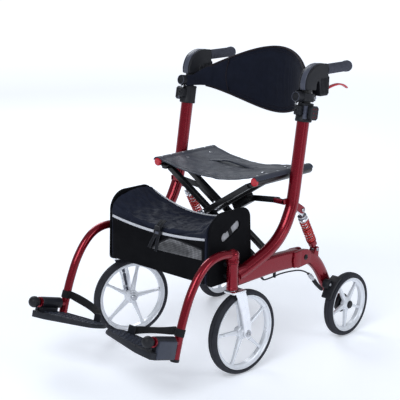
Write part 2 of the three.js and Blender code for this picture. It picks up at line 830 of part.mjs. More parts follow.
// ---------- soft parts ----------
// A closed shell between two grids of points; pointAt(layer, i, j) gives each point.
function shell(wide, deep, pointAt) {
  const layer = wide * deep;
  const vertices = [];
  for (const side of [0, 1]) {
    for (let j = 0; j < deep; j++) {
      for (let i = 0; i < wide; i++) vertices.push(pointAt(side, i, j));
    }
  }
  const faces = [];
  const quad = (a, b, c, d) => faces.push(a, b, c, a, c, d);
  for (let j = 0; j < deep - 1; j++) {
    for (let i = 0; i < wide - 1; i++) {
      const a = j * wide + i;
      quad(a, a + 1, a + wide + 1, a + wide);
      quad(layer + a, layer + a + wide, layer + a + wide + 1, layer + a + 1);
    }
  }
  const edge = (a, b) => quad(a, layer + a, layer + b, b);
  for (let i = 0; i < wide - 1; i++) {
    edge(i, i + 1);
    edge(layer - 1 - i, layer - 2 - i);
  }
  for (let j = 0; j < deep - 1; j++) {
    edge((j + 1) * wide, j * wide);
    edge(j * wide + wide - 1, (j + 1) * wide + wide - 1);
  }
  const geometry = new THREE.BufferGeometry().setFromPoints(vertices);
  geometry.setIndex(faces);
  return solid(geometry);
}

// A cloth panel of even thickness whose top is a function of x and y.
function cloth(xs, ys, height, thickness) {
  return shell(xs.length, ys.length, (layer, i, j) =>
    point(xs[i], ys[j], height(xs[i], ys[j]) - layer * thickness),
  );
}

const steps = (from, to, count) =>
  Array.from({ length: count + 1 }, (_, i) => from + ((to - from) * i) / count);

function seatFabric() {
  const edge = SEAT_RAIL_X - SEAT_RAIL_R - 0.8;
  const sag = (x, y) => {
    const across = 1 - (x / edge) ** 2;
    const middle = Math.abs(y - 130) / 130;
    return SEAT_RAIL_Z + 4 - across * (20 + 10 * middle);
  };
  return cloth(steps(-edge, edge, 14), steps(SEAT_FRONT_Y + 2, SEAT_REAR_Y - 4, 4), sag, 5);
}

function bag() {
  const side = BAG_X - 0.6;
  const floor = BAG_BOTTOM + 3;
  const top = (x, y) => {
    const across = (x / side) ** 2;
    const back = (y - BAG_FRONT) / (BAG_REAR - BAG_FRONT);
    return 418 + 8 * back + across * (4 + 42 * back) + 16 * Math.sin(Math.PI * back) * (1 - across);
  };
  const ys = steps(BAG_FRONT + 1, BAG_REAR - 1, 4);
  const whole = cloth(steps(-side, side, 8), ys, top, 200);
  return cut(whole, block([-300, -300, 0], [300, 100, floor]));
}

// Backrest: a padded band that bows backwards between the two band clamps.
function backrest() {
  const half = 206;
  const bow = (x) => 204 + 146 * (1 - (x / 225) ** 2);
  const highest = (x) => 830 + 73 * Math.cos((Math.min(Math.abs(x), 196) / 196) * (Math.PI / 2)) ** 0.9;
  const lowest = (x) => 768 - 76 * Math.cos((Math.min(Math.abs(x), 206) / 206) * (Math.PI / 2)) ** 1.2;
  const thick = 10;
  const xs = steps(-half, half, 16);
  const rows = 4;
  return shell(xs.length, rows + 1, (layer, i, j) => {
    const x = xs[i];
    const rise = j / rows;
    const slim = 1 - 0.5 * Math.abs(2 * rise - 1);
    const y = bow(x) + (layer === 0 ? -thick : thick) * slim;
    return point(x, y, lowest(x) + (highest(x) - lowest(x)) * rise);
  });
}

// ---------- assembly ----------
function addSide(side, mirror, swivel, braceYs) {
  const half = new THREE.Group();
  half.scale.x = mirror;
  const put = (group, name, manifold, finish) => group.add(mesh(`${side}_${name}`, manifold, finish));

  put(half, "frame", sideFrame(braceYs), red);
  put(half, "bag_panel", bagPanel(), blackPlastic);
  put(half, "stabiliser_link", stabiliserLink(), blackMetal);

  const mast = new THREE.Group();
  mast.position.set(FRAME_X, MAST_Y, MAST_Z);
  mast.rotation.x = -MAST_LEAN;
  put(mast, "collar", collar(), blackPlastic);
  put(mast, "collar_knob", collarKnob(), blackPlastic);
  put(mast, "handle_arm", handleArm(), blackPlastic);
  put(mast, "grip", grip(), gripRubber);
  put(mast, "band_clamp", bandClamp(), blackPlastic);
  put(mast, "brake_lever", brakeLever(), redCap);
  half.add(mast);

  const caster = new THREE.Group();
  caster.position.set(FRAME_X, STEM_Y, 0);
  caster.rotation.z = -THREE.MathUtils.degToRad(swivel);
  put(caster, "caster_fork", casterFork(), polished);
  const frontWheel = new THREE.Group();
  frontWheel.position.set(0, TRAIL, FRONT_R);
  put(frontWheel, "front_tyre", tyre(FRONT_R, FRONT_RIM_R), darkRubber);
  put(frontWheel, "front_rim", rim(FRONT_RIM_R, 15, 18, 4.4), rimPlastic);
  put(frontWheel, "front_axle", frontAxle(), polished);
  caster.add(frontWheel);
  half.add(caster);

  put(half, "rear_arm", rearArm(), red);
  put(half, "brake_housing", brakeHousing(), blackPlastic);
  const rearWheel = new THREE.Group();
  rearWheel.position.set(REAR_X, REAR_Y, REAR_R);
  put(rearWheel, "rear_tyre", tyre(REAR_R, REAR_RIM_R), darkRubber);
  put(rearWheel, "rear_rim", rim(REAR_RIM_R, 15, 9.5, 6.4), rimPlastic);
  half.add(rearWheel);

  const shock = new THREE.Group();
  shock.position.set(FRAME_X, SHOCK_TOP.y, SHOCK_TOP.z);
  shock.rotation.x = shockLean;
  put(shock, "shock_body", shockBody(), polished);
  put(shock, "shock_rod", shockRod(), red);
  put(shock, "shock_spring", shockSpring(), redCap);
  half.add(shock);

  put(half, "hanger", hanger(), red);
  const foot = new THREE.Group();
  foot.position.set(FRAME_X, FOOT_Y, FOOT_Z);
  foot.rotation.x = -FOOT_PITCH;
  put(foot, "footplate", footplate(), blackPlastic);
  put(foot, "footplate_knob", footKnob(), blackPlastic);
  half.add(foot);
  put(half, "heel_strap", heelStrap(), webbing);

  const cablePoints = CABLE_ROUTE.map(([x, y, z]) => point(x, y, z));
  put(half, "brake_cable", sweep(cablePoints, oval(2.2, 2.2, 8), 16), blackPlastic);

  put(half, "seat_rail", seatRail(), blackMetal);
  put(half, "seat_rail_cap", railCap(), redCap);
  return half;
}

const rollator = new THREE.Group();
rollator.add(addSide("left", 1, 4.0, BRACE_A_Y));
rollator.add(addSide("right", -1, -18.9, BRACE_B_Y));

// Arm A stands on the left frame and carries the right seat rail; arm B is the other way round.
rollator.add(mesh("brace_arm_a", braceArm(BRACE_A_Y), blackMetal));
const otherHand = new THREE.Group();
otherHand.scale.x = -1;
otherHand.add(mesh("brace_arm_b", braceArm(BRACE_B_Y), blackMetal));
rollator.add(otherHand);
const pivotBolt = join(
  bar(point(0, BRACE_B_Y[0] - 16, CROSS_Z), point(0, BRACE_A_Y[1] + 16, CROSS_Z), 4, 12),
  bar(point(0, BRACE_B_Y[0] - 16, CROSS_Z), point(0, BRACE_B_Y[0] - 11, CROSS_Z), 8, 12),
  bar(point(0, BRACE_A_Y[1] + 11, CROSS_Z), point(0, BRACE_A_Y[1] + 16, CROSS_Z), 8, 12),
);
rollator.add(mesh("brace_pivot_bolt", pivotBolt, polished));
rollator.add(mesh("seat_fabric", seatFabric(), seatNylon));
rollator.add(mesh("bag", bag(), bagNylon));
rollator.add(mesh("backrest", backrest(), navyFabric));

export default rollator;
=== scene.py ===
"""The looks of a folding rollator walker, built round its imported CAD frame.

Lengths are written in millimetres and scaled when a piece is placed. The left half is described once and the
right half is its mirror. +X is the user's left, -Y is forward and +Z is up.
"""

import json
import math

import bmesh
import bpy
from mathutils import Matrix, Vector, noise
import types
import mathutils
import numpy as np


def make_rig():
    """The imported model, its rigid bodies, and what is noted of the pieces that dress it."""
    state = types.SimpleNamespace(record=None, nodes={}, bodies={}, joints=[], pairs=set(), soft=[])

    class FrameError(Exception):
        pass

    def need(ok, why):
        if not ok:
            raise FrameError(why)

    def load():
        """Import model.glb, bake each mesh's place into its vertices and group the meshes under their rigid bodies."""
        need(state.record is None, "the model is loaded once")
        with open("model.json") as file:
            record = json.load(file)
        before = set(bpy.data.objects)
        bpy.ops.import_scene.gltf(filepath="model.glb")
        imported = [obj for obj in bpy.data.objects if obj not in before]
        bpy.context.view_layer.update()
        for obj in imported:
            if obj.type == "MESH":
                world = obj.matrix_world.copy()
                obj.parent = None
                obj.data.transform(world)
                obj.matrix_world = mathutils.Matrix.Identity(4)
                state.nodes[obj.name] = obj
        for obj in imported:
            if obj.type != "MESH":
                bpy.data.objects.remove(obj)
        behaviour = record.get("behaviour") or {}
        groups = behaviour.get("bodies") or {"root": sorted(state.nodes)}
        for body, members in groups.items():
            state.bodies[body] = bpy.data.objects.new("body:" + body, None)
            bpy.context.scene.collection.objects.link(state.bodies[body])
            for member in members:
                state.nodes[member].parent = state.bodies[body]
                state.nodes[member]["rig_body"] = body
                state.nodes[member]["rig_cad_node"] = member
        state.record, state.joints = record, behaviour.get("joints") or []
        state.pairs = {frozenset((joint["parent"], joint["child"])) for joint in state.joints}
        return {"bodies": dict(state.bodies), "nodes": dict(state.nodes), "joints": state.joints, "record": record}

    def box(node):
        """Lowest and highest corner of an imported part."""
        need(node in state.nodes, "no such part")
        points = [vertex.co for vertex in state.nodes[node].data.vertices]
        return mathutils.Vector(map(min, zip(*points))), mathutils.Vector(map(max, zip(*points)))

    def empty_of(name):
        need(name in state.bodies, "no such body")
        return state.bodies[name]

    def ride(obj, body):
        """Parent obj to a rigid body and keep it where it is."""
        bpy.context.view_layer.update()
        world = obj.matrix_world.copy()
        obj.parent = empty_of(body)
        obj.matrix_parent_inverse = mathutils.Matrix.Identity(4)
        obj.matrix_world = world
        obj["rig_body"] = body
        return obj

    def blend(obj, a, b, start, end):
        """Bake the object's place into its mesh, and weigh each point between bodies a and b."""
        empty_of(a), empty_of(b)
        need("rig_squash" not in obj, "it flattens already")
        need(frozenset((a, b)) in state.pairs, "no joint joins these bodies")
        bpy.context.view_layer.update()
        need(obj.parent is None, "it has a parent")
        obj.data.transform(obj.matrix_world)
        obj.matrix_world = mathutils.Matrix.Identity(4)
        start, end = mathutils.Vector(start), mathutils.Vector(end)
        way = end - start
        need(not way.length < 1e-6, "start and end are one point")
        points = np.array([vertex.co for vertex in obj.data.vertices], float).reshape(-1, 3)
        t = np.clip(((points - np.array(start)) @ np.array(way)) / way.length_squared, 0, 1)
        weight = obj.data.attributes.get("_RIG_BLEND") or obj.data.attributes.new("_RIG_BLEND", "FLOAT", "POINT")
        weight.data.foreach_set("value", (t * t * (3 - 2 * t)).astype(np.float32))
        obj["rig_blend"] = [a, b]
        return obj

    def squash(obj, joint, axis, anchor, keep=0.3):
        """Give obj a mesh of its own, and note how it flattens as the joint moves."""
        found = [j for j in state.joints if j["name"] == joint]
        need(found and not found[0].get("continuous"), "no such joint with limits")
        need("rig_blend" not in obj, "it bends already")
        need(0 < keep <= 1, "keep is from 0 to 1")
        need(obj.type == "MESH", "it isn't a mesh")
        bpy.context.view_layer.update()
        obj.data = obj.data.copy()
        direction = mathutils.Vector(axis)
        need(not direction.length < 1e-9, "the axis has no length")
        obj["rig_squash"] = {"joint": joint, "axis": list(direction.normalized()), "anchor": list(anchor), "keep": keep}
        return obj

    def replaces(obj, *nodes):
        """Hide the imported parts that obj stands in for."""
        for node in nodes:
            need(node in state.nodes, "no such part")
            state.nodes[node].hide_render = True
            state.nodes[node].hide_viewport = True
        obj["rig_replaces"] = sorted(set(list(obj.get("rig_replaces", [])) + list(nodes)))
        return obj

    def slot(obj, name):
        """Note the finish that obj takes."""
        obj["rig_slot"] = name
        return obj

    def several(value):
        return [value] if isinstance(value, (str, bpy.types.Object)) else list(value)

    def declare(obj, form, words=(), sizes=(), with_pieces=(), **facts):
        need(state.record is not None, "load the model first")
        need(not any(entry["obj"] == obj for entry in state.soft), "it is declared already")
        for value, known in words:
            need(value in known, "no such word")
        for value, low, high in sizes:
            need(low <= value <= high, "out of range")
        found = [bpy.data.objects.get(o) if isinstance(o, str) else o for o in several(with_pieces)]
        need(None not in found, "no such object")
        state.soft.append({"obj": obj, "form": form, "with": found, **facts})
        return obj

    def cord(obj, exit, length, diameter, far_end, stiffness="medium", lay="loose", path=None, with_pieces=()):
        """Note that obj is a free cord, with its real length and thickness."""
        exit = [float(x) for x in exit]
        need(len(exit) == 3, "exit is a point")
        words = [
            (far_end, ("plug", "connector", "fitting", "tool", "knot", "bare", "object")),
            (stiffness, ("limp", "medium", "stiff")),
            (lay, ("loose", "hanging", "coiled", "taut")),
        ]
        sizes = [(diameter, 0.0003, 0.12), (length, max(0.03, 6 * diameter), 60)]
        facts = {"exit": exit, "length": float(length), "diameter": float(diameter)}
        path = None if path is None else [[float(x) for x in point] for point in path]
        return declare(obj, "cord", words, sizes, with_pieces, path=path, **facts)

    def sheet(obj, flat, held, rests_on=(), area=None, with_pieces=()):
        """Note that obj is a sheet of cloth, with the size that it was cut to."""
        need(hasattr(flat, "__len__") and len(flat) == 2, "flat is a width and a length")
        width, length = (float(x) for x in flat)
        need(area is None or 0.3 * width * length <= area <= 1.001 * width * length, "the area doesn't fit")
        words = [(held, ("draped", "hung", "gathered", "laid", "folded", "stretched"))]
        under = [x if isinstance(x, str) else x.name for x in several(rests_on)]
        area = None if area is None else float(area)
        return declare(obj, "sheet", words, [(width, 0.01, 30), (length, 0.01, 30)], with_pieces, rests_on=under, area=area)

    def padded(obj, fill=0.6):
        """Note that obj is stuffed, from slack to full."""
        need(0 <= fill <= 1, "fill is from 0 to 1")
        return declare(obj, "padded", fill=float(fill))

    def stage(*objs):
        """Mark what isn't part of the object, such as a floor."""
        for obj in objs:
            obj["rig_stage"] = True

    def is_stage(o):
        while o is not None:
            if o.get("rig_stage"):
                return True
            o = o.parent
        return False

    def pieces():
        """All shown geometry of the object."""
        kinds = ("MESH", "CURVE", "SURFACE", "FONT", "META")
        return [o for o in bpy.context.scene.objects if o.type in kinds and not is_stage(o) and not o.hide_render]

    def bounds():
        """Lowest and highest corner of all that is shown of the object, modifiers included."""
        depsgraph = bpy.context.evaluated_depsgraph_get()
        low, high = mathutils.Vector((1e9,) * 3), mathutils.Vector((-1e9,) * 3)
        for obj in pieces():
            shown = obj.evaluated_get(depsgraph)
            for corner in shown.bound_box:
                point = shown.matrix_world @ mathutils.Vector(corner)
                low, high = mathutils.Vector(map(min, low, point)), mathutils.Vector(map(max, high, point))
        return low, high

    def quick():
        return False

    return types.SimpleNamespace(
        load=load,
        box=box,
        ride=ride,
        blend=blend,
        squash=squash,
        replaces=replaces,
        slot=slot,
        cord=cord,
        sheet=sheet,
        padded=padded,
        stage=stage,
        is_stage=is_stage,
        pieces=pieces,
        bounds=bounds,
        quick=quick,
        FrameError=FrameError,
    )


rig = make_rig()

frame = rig.load()
cad_low, cad_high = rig.bounds()

MM = 0.001
X, Y, Z = Vector((1, 0, 0)), Vector((0, 1, 0)), Vector((0, 0, 1))
NO_MOVE = Matrix.Identity(4)
MIRROR = Matrix.Scale(-1, 4, X)
SIDES = {"left": NO_MOVE, "right": MIRROR}  # how the left half's shapes reach each side
JOINTS = {joint["name"]: joint for joint in frame["joints"]}


def joint_place(name):
    """A joint's point in millimetres."""
    return Vector(JOINTS[name]["pos_m"]) / MM


def node_box(name):
    """The lowest and highest corners of a CAD node in millimetres."""
    low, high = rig.box(name)
    return low / MM, high / MM


def half_size(name, axis):
    """Half a CAD node's size along X (0), Y (1) or Z (2), in millimetres."""
    low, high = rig.box(name)
    return (high[axis] - low[axis]) / MM / 2


# ---------- driving places, from the frame ----------
STEM = joint_place("left_caster_swivel")
FRAME_X = STEM.x
SHOCK_TOP = joint_place("left_shock_swing")
SHOCK_LOW = Vector((FRAME_X, 258, 306))
SUSPENSION = joint_place("left_suspension")
REAR_AXLE = joint_place("left_rear_wheel_spin")
FOOT = joint_place("left_footplate_flip")
FOLD = joint_place("fold")
CROSS = joint_place("brace_cross")
LINK = joint_place("left_stabiliser")
MAST_AXIS = Vector(JOINTS["left_handle_height"]["axis"])
MAST_LEAN = math.atan2(MAST_AXIS.y, MAST_AXIS.z)
MAST = Vector((FRAME_X, 179, 713))
MAST_PLACE = Matrix.Translation(MAST) @ Matrix.Rotation(-MAST_LEAN, 4, "X")
UPRIGHTED = MAST_PLACE @ Matrix.Rotation(MAST_LEAN, 4, "X")  # from the mast's origin, but level
FOOT_AXIS = Vector(JOINTS["left_footplate_flip"]["axis"])
FOOT_PITCH = math.atan2(-FOOT_AXIS.z, FOOT_AXIS.y)
FOOT_PLACE = Matrix.Translation((FRAME_X, FOOT.y, FOOT.z)) @ Matrix.Rotation(-FOOT_PITCH, 4, "X")

# ---------- the camera ----------
AZIMUTH = math.radians(42.34)
ELEVATION = math.radians(14.21)
ROLL = math.radians(0.65)
DISTANCE = 3.589
LENS = 106.4
LOOK_AT = Vector((-0.008, -0.0033, 0.4638))


def add_camera():
    level = math.cos(ELEVATION)
    back = Vector((math.sin(AZIMUTH) * level, -math.cos(AZIMUTH) * level, math.sin(ELEVATION)))
    data = bpy.data.cameras.new("camera")
    data.sensor_width = 36
    data.lens = LENS
    data.clip_start = 0.1
    data.clip_end = 100
    camera = bpy.data.objects.new("camera", data)
    place = Matrix.Translation(LOOK_AT + back * DISTANCE)
    turn = (-back).to_track_quat("-Z", "Y").to_matrix().to_4x4()
    camera.matrix_world = place @ turn @ Matrix.Rotation(ROLL, 4, "Z")
    bpy.context.scene.collection.objects.link(camera)
    bpy.context.scene.camera = camera


add_camera()


# ---------- materials ----------
DUST = (0.35, 0.35, 0.36, 1)
OPEN_WEAVE = 0.3  # a weave with a darker gap than this reads as a net


def finish(
    name, colour, roughness, metallic=0.0, mottle=0.08, mottle_scale=60.0, grain=None, weave=None, gap=0.45,
    brushed=None, dust=0.0, **sockets
):
    """A painted, moulded, metal or woven surface.

    Scales are per metre; grain, weave and brushed are (scale, depth). gap is how bright a weave is between
    its threads.
    """
    material = bpy.data.materials.new(name)
    material.use_nodes = True
    nodes, links = material.node_tree.nodes, material.node_tree.links
    shader = nodes["Principled BSDF"]
    shader.inputs["Metallic"].default_value = metallic
    for socket, value in sockets.items():
        shader.inputs[socket.replace("_", " ")].default_value = value
    place = nodes.new("ShaderNodeTexCoord").outputs["Object"]

    def node(kind, vector=None, **inputs):
        made = nodes.new(kind)
        for socket, value in inputs.items():
            made.inputs[socket.replace("_", " ")].default_value = value
        if vector:
            links.new(vector, made.inputs["Vector"])
        return made

    def noise_node(scale, detail=3.0, coordinates=place):
        return node("ShaderNodeTexNoise", coordinates, Scale=scale, Detail=detail).outputs["Fac"]

    def ramp(value, low, high, from_low=0.3, from_high=0.7):
        made = node("ShaderNodeMapRange", From_Min=from_low, From_Max=from_high, To_Min=low, To_Max=high)
        links.new(value, made.inputs["Value"])
        return made.outputs["Result"]

    def mix(factor, first, second):
        made = nodes.new("ShaderNodeMix")
        made.data_type = "RGBA"
        for socket, value in ((0, factor), (6, first), (7, second)):
            if isinstance(value, bpy.types.NodeSocket):
                links.new(value, made.inputs[socket])
            else:
                made.inputs[socket].default_value = value
        return made.outputs[2]

    def shade(amount):
        return (*[min(1.0, c * amount) for c in colour], 1)

    def woven(scale):
        """Brightness of three crossing sets of threads."""
        total = None
        for direction in "XYZ":
            wave = node("ShaderNodeTexWave", place, Scale=scale, Distortion=0.4, Detail=1)
            wave.bands_direction = direction
            if total is None:
                total = wave.outputs["Fac"]
                continue
            product = nodes.new("ShaderNodeMath")
            product.operation = "MULTIPLY"
            links.new(total, product.inputs[0])
            links.new(ramp(wave.outputs["Fac"], 0.35, 1.0, 0, 1), product.inputs[1])
            total = product.outputs[0]
        return total

    tint = mix(ramp(noise_node(mottle_scale), 0, 1), shade(1 - mottle), shade(1 + mottle))
    height = None
    if weave:
        scale, depth = weave
        height = woven(scale)
        between = ramp(height, 0.35 if gap > OPEN_WEAVE else 0.95, 0, 0.0, 0.6)
        tint = mix(between, tint, shade(gap))
    if grain:
        scale, depth = grain
        height = node("ShaderNodeTexVoronoi", place, Scale=scale).outputs["Distance"]
    if brushed:
        scale, depth = brushed
        stretch = node("ShaderNodeMapping", place, Scale=(1, 1, 0.06))
        height = noise_node(scale, 2.0, stretch.outputs["Vector"])
    if dust:
        tint = mix(ramp(noise_node(9.0, 6.0), 0, dust, 0.45, 0.75), tint, DUST)
    links.new(tint, shader.inputs["Base Color"])
    rough = ramp(noise_node(mottle_scale * 0.4), max(0.02, roughness - 0.05), min(1, roughness + 0.07))
    links.new(rough, shader.inputs["Roughness"])
    if height is not None:
        bump = node("ShaderNodeBump", Strength=0.6, Distance=depth)
        links.new(height, bump.inputs["Height"])
        links.new(bump.outputs["Normal"], shader.inputs["Normal"])
    return material


RED = finish(
    "candy_red_paint", (0.2, 0.0015, 0.011), 0.22, 0.7, mottle=0.06, mottle_scale=500, grain=(350, 0.00001),
    Coat_Weight=0.35, Coat_Roughness=0.06, Specular_IOR_Level=0.3
)
BLACK_METAL = finish(
    "black_powder_coat", (0.0045, 0.0045, 0.0055), 0.34, mottle=0.15, grain=(1800, 0.00004),
    Specular_IOR_Level=0.32, Coat_Weight=0.15, Coat_Roughness=0.12
)
CHROME = finish("polished_alloy", (0.84, 0.85, 0.88), 0.2, 1.0, mottle=0.04, brushed=(900, 0.00003))
ZINC = finish(
    "zinc_bolt", (0.5, 0.51, 0.54), 0.3, 1.0, mottle=0.1, mottle_scale=300, brushed=(1500, 0.00003)
)
TYRE = finish(
    "tyre_rubber", (0.021, 0.022, 0.029), 0.75, mottle=0.15, grain=(700, 0.00015), dust=0.03,
    Specular_IOR_Level=0.25
)
RIM = finish(
    "silver_rim", (0.72, 0.74, 0.78), 0.3, 0.2, mottle=0.03, grain=(1500, 0.00002), Coat_Weight=0.4,
    Coat_Roughness=0.1
)
BLACK_PLASTIC = finish(
    "black_moulding", (0.0075, 0.008, 0.011), 0.5, grain=(1300, 0.00008), mottle=0.15, Specular_IOR_Level=0.28
)
GREY_PLASTIC = finish(
    "grey_moulding", (0.055, 0.06, 0.085), 0.4, grain=(1300, 0.00008), mottle=0.1, Specular_IOR_Level=0.4
)
PLATE_PLASTIC = finish(
    "footplate_moulding", (0.009, 0.0105, 0.016), 0.5, grain=(1000, 0.00012), mottle=0.18, dust=0.02,
    Specular_IOR_Level=0.3
)
PLATE_EDGE = finish(
    "footplate_edge", (0.035, 0.041, 0.062), 0.42, grain=(1000, 0.0001), mottle=0.1, Specular_IOR_Level=0.35
)
GRIP = finish(
    "grip_rubber", (0.045, 0.048, 0.066), 0.68, grain=(900, 0.0002), mottle=0.15, Specular_IOR_Level=0.25
)
RED_PLASTIC = finish("red_plastic", (0.46, 0.006, 0.018), 0.35, grain=(350, 0.00001), Coat_Weight=0.2)
SPRING_RED = finish("red_spring_paint", (0.42, 0.008, 0.008), 0.28, 0.2, mottle=0.1, Coat_Weight=0.5)
SEAT_CLOTH = finish(
    "seat_nylon", (0.024, 0.03, 0.05), 0.52, mottle=0.16, mottle_scale=25, weave=(160, 0.0002),
    Sheen_Weight=0.12, Specular_IOR_Level=0.4
)
BACK_CLOTH = finish(
    "neoprene_navy", (0.0072, 0.0093, 0.0188), 0.9, mottle=0.14, mottle_scale=40, weave=(230, 0.00015),
    Sheen_Weight=0.04, Specular_IOR_Level=0.15
)
PANEL_CLOTH = finish(
    "panel_black", (0.0022, 0.0024, 0.0036), 0.72, mottle=0.2, weave=(200, 0.0001), Specular_IOR_Level=0.09
)
BAG_CLOTH = finish(
    "bag_nylon", (0.0075, 0.0105, 0.024), 0.68, mottle=0.2, mottle_scale=30, weave=(220, 0.00012),
    Sheen_Weight=0.02, Specular_IOR_Level=0.2
)
WEBBING = finish(
    "webbing", (0.008, 0.0085, 0.0105), 0.75, weave=(330, 0.0004), mottle=0.15, Specular_IOR_Level=0.25
)
PIPING = finish("reflective_piping", (0.6, 0.61, 0.65), 0.5, weave=(400, 0.0002), mottle=0.06)
MESH_CLOTH = finish(
    "pocket_mesh", (0.24, 0.24, 0.25), 0.7, weave=(62, 0.0006), gap=0.05, mottle=0.4, mottle_scale=45,
    Specular_IOR_Level=0.2
)
SLOT_MESH = finish("slot_lining_mesh", (0.42, 0.42, 0.44), 0.8, weave=(90, 0.0008), mottle=0.25)
BINDING = finish(
    "edge_binding", (0.018, 0.013, 0.017), 0.7, weave=(420, 0.0003), mottle=0.15, Specular_IOR_Level=0.2
)


# ---------- shells: (points, faces), closed, in millimetres ----------
def lofted(rings, loop=False):
    """Rings of equally many points, joined one to the next, with the end rings filled unless they loop."""
    count = len(rings[0])
    points = [point for ring in rings for point in ring]
    faces = []
    for i in range(len(rings) if loop else len(rings) - 1):
        here, there = i * count, (i + 1) % len(rings) * count
        for k in range(count):
            after = (k + 1) % count
            faces.append((here + k, here + after, there + after, there + k))
    if not loop:
        faces.append(tuple(reversed(range(count))))
        faces.append(tuple((len(rings) - 1) * count + k for k in range(count)))
    return points, faces


def smooth_line(points, per_span=6):
    """A centripetal Catmull-Rom curve through the points."""
    points = [Vector(p) for p in points]
    ends = [points[0] * 2 - points[1], *points, points[-1] * 2 - points[-2]]
    line = []
    for i in range(1, len(ends) - 2):
        p0, p1, p2, p3 = ends[i - 1 : i + 3]
        t1 = max((p1 - p0).length, 1e-6) ** 0.5
        t2 = t1 + max((p2 - p1).length, 1e-6) ** 0.5
        t3 = t2 + max((p3 - p2).length, 1e-6) ** 0.5
        for k in range(per_span):
            t = t1 + (t2 - t1) * k / per_span
            a1 = p0 * ((t1 - t) / t1) + p1 * (t / t1)
            a2 = p1 * ((t2 - t) / (t2 - t1)) + p2 * ((t - t1) / (t2 - t1))
            a3 = p2 * ((t3 - t) / (t3 - t2)) + p3 * ((t - t2) / (t3 - t2))
            b1 = a1 * ((t2 - t) / t2) + a2 * (t / t2)
            b2 = a2 * ((t3 - t) / (t3 - t1)) + a3 * ((t - t1) / (t3 - t1))
            line.append(b1 * ((t2 - t) / (t2 - t1)) + b2 * ((t - t1) / (t2 - t1)))
    line.append(points[-1])
    return line


def heading(line, i):
    """The direction of a line at its i-th point."""
    return (line[min(i + 1, len(line) - 1)] - line[max(i - 1, 0)]).normalized()


def line_length(line):
    return sum((b - a).length for a, b in zip(line, line[1:]))


def swept(line, section, across=X):
    """section(share) gives [(across, up), ...] along the line; across stays near one direction."""
    rings = []
    for i, point in enumerate(line):
        tangent = heading(line, i)
        side_way = (across - tangent * across.dot(tangent)).normalized()
        up = side_way.cross(tangent)
        rings.append([point + side_way * a + up * b for a, b in section(i / (len(line) - 1))])
    return lofted(rings)


def round_section(radius, sides=32):
    turns = [2 * math.pi * k / sides for k in range(sides)]
    points = [(radius * math.cos(turn), radius * math.sin(turn)) for turn in turns]
    return lambda share: points


def rounded_rect(half_across, half_up, corner, steps=5):
    """The corners of a rectangle with round corners, as a section."""
    points = []
    for quarter, (sx, sy) in enumerate(((1, 1), (-1, 1), (-1, -1), (1, -1))):
        for k in range(steps + 1):
            turn = (quarter + k / steps) * math.pi / 2
            across = sx * (half_across - corner) + corner * math.cos(turn)
            points.append((across, sy * (half_up - corner) + corner * math.sin(turn)))
    return lambda share: points


def turned(profile, centre=(0, 0, 0), axis=X, sides=40, closed=False):
    """[(along, radius), ...] turned about an axis. A closed profile makes a ring; an open one a solid."""
    axis = Vector(axis).normalized()
    side_way = axis.orthogonal().normalized()
    up = axis.cross(side_way)
    centre = Vector(centre)
    if not closed:
        profile = [(profile[0][0], 0), *profile, (profile[-1][0], 0)]
    rings = []
    for along, radius in profile:
        ring = []
        for k in range(sides):
            turn = 2 * math.pi * k / sides
            spoke_way = side_way * math.cos(turn) + up * math.sin(turn)
            ring.append(centre + axis * along + spoke_way * max(radius, 1e-3))
        rings.append(ring)
    return lofted(rings, loop=closed)


def mesh_shell(mesh):
    """A bmesh as a shell; the bmesh is freed."""
    mesh.verts.index_update()
    made = [v.co.copy() for v in mesh.verts], [tuple(v.index for v in f.verts) for f in mesh.faces]
    mesh.free()
    return made


def round_edges(mesh, width, segments, angle, clamp=True):
    """Bevels a bmesh's edges that bend by more than an angle in radians; clamp keeps bevels from crossing."""
    mesh.normal_update()
    sharp = [e for e in mesh.edges if len(e.link_faces) == 2 and e.calc_face_angle(0) > angle]
    bmesh.ops.bevel(
        mesh, geom=sharp, offset=width, segments=segments, profile=0.6, affect="EDGES", clamp_overlap=clamp
    )


def rounded(shell, width, segments=3, angle=30):
    """The same shell with its sharp edges rounded."""
    points, faces = shell
    mesh = bmesh.new()
    verts = [mesh.verts.new(p) for p in points]
    for face in faces:
        mesh.faces.new([verts[i] for i in face])
    round_edges(mesh, width, segments, math.radians(angle))
    return mesh_shell(mesh)


def box(low, high, width=1.0, segments=3):
    x0, y0, z0 = low
    x1, y1, z1 = high
    ring = [(x0, y0), (x1, y0), (x1, y1), (x0, y1)]
    return rounded(lofted([[Vector((x, y, z)) for x, y in ring] for z in (z0, z1)]), width, segments)


def slab(outline, x0, x1, width=1.0, segments=3):
    """An outline of (y, z) given thickness along X, with rounded edges."""
    area = sum(a[0] * b[1] - b[0] * a[1] for a, b in zip(outline, outline[1:] + outline[:1]))
    if area < 0:
        outline = outline[::-1]
    return rounded(lofted([[Vector((x, y, z)) for y, z in outline] for x in (x0, x1)]), width, segments, 50)


def plate(outline, y, half, width=1.0, segments=2, angle=30):
    """An outline of (x, z) given thickness along Y, with rounded edges."""
    rings = [[Vector((x, y + d, z)) for x, z in outline] for d in (half, -half)]
    return rounded(lofted(rings), width, segments, angle)


def moved(shell, matrix):
    points, faces = shell
    if matrix.determinant() < 0:
        faces = [tuple(reversed(face)) for face in faces]
    return [matrix @ Vector(p) for p in points], faces


def arc_points(centre, radius, first, last, count):
    """Points along an arc between two angles in degrees."""
    turns = [math.radians(first + (last - first) * k / count) for k in range(count + 1)]
    return [(centre[0] + radius * math.cos(turn), centre[1] + radius * math.sin(turn)) for turn in turns]


def lug(start, r0, end, r1, sides=24):
    """Outline of two circles joined by their tangents."""
    along = math.degrees(math.atan2(end[1] - start[1], end[0] - start[0]))
    lean = math.degrees(math.acos((r0 - r1) / math.hypot(end[0] - start[0], end[1] - start[1])))
    outline = arc_points(end, r1, along - lean, along + lean, sides // 2)
    return outline + arc_points(start, r0, along + lean, along - lean + 360, sides // 2)


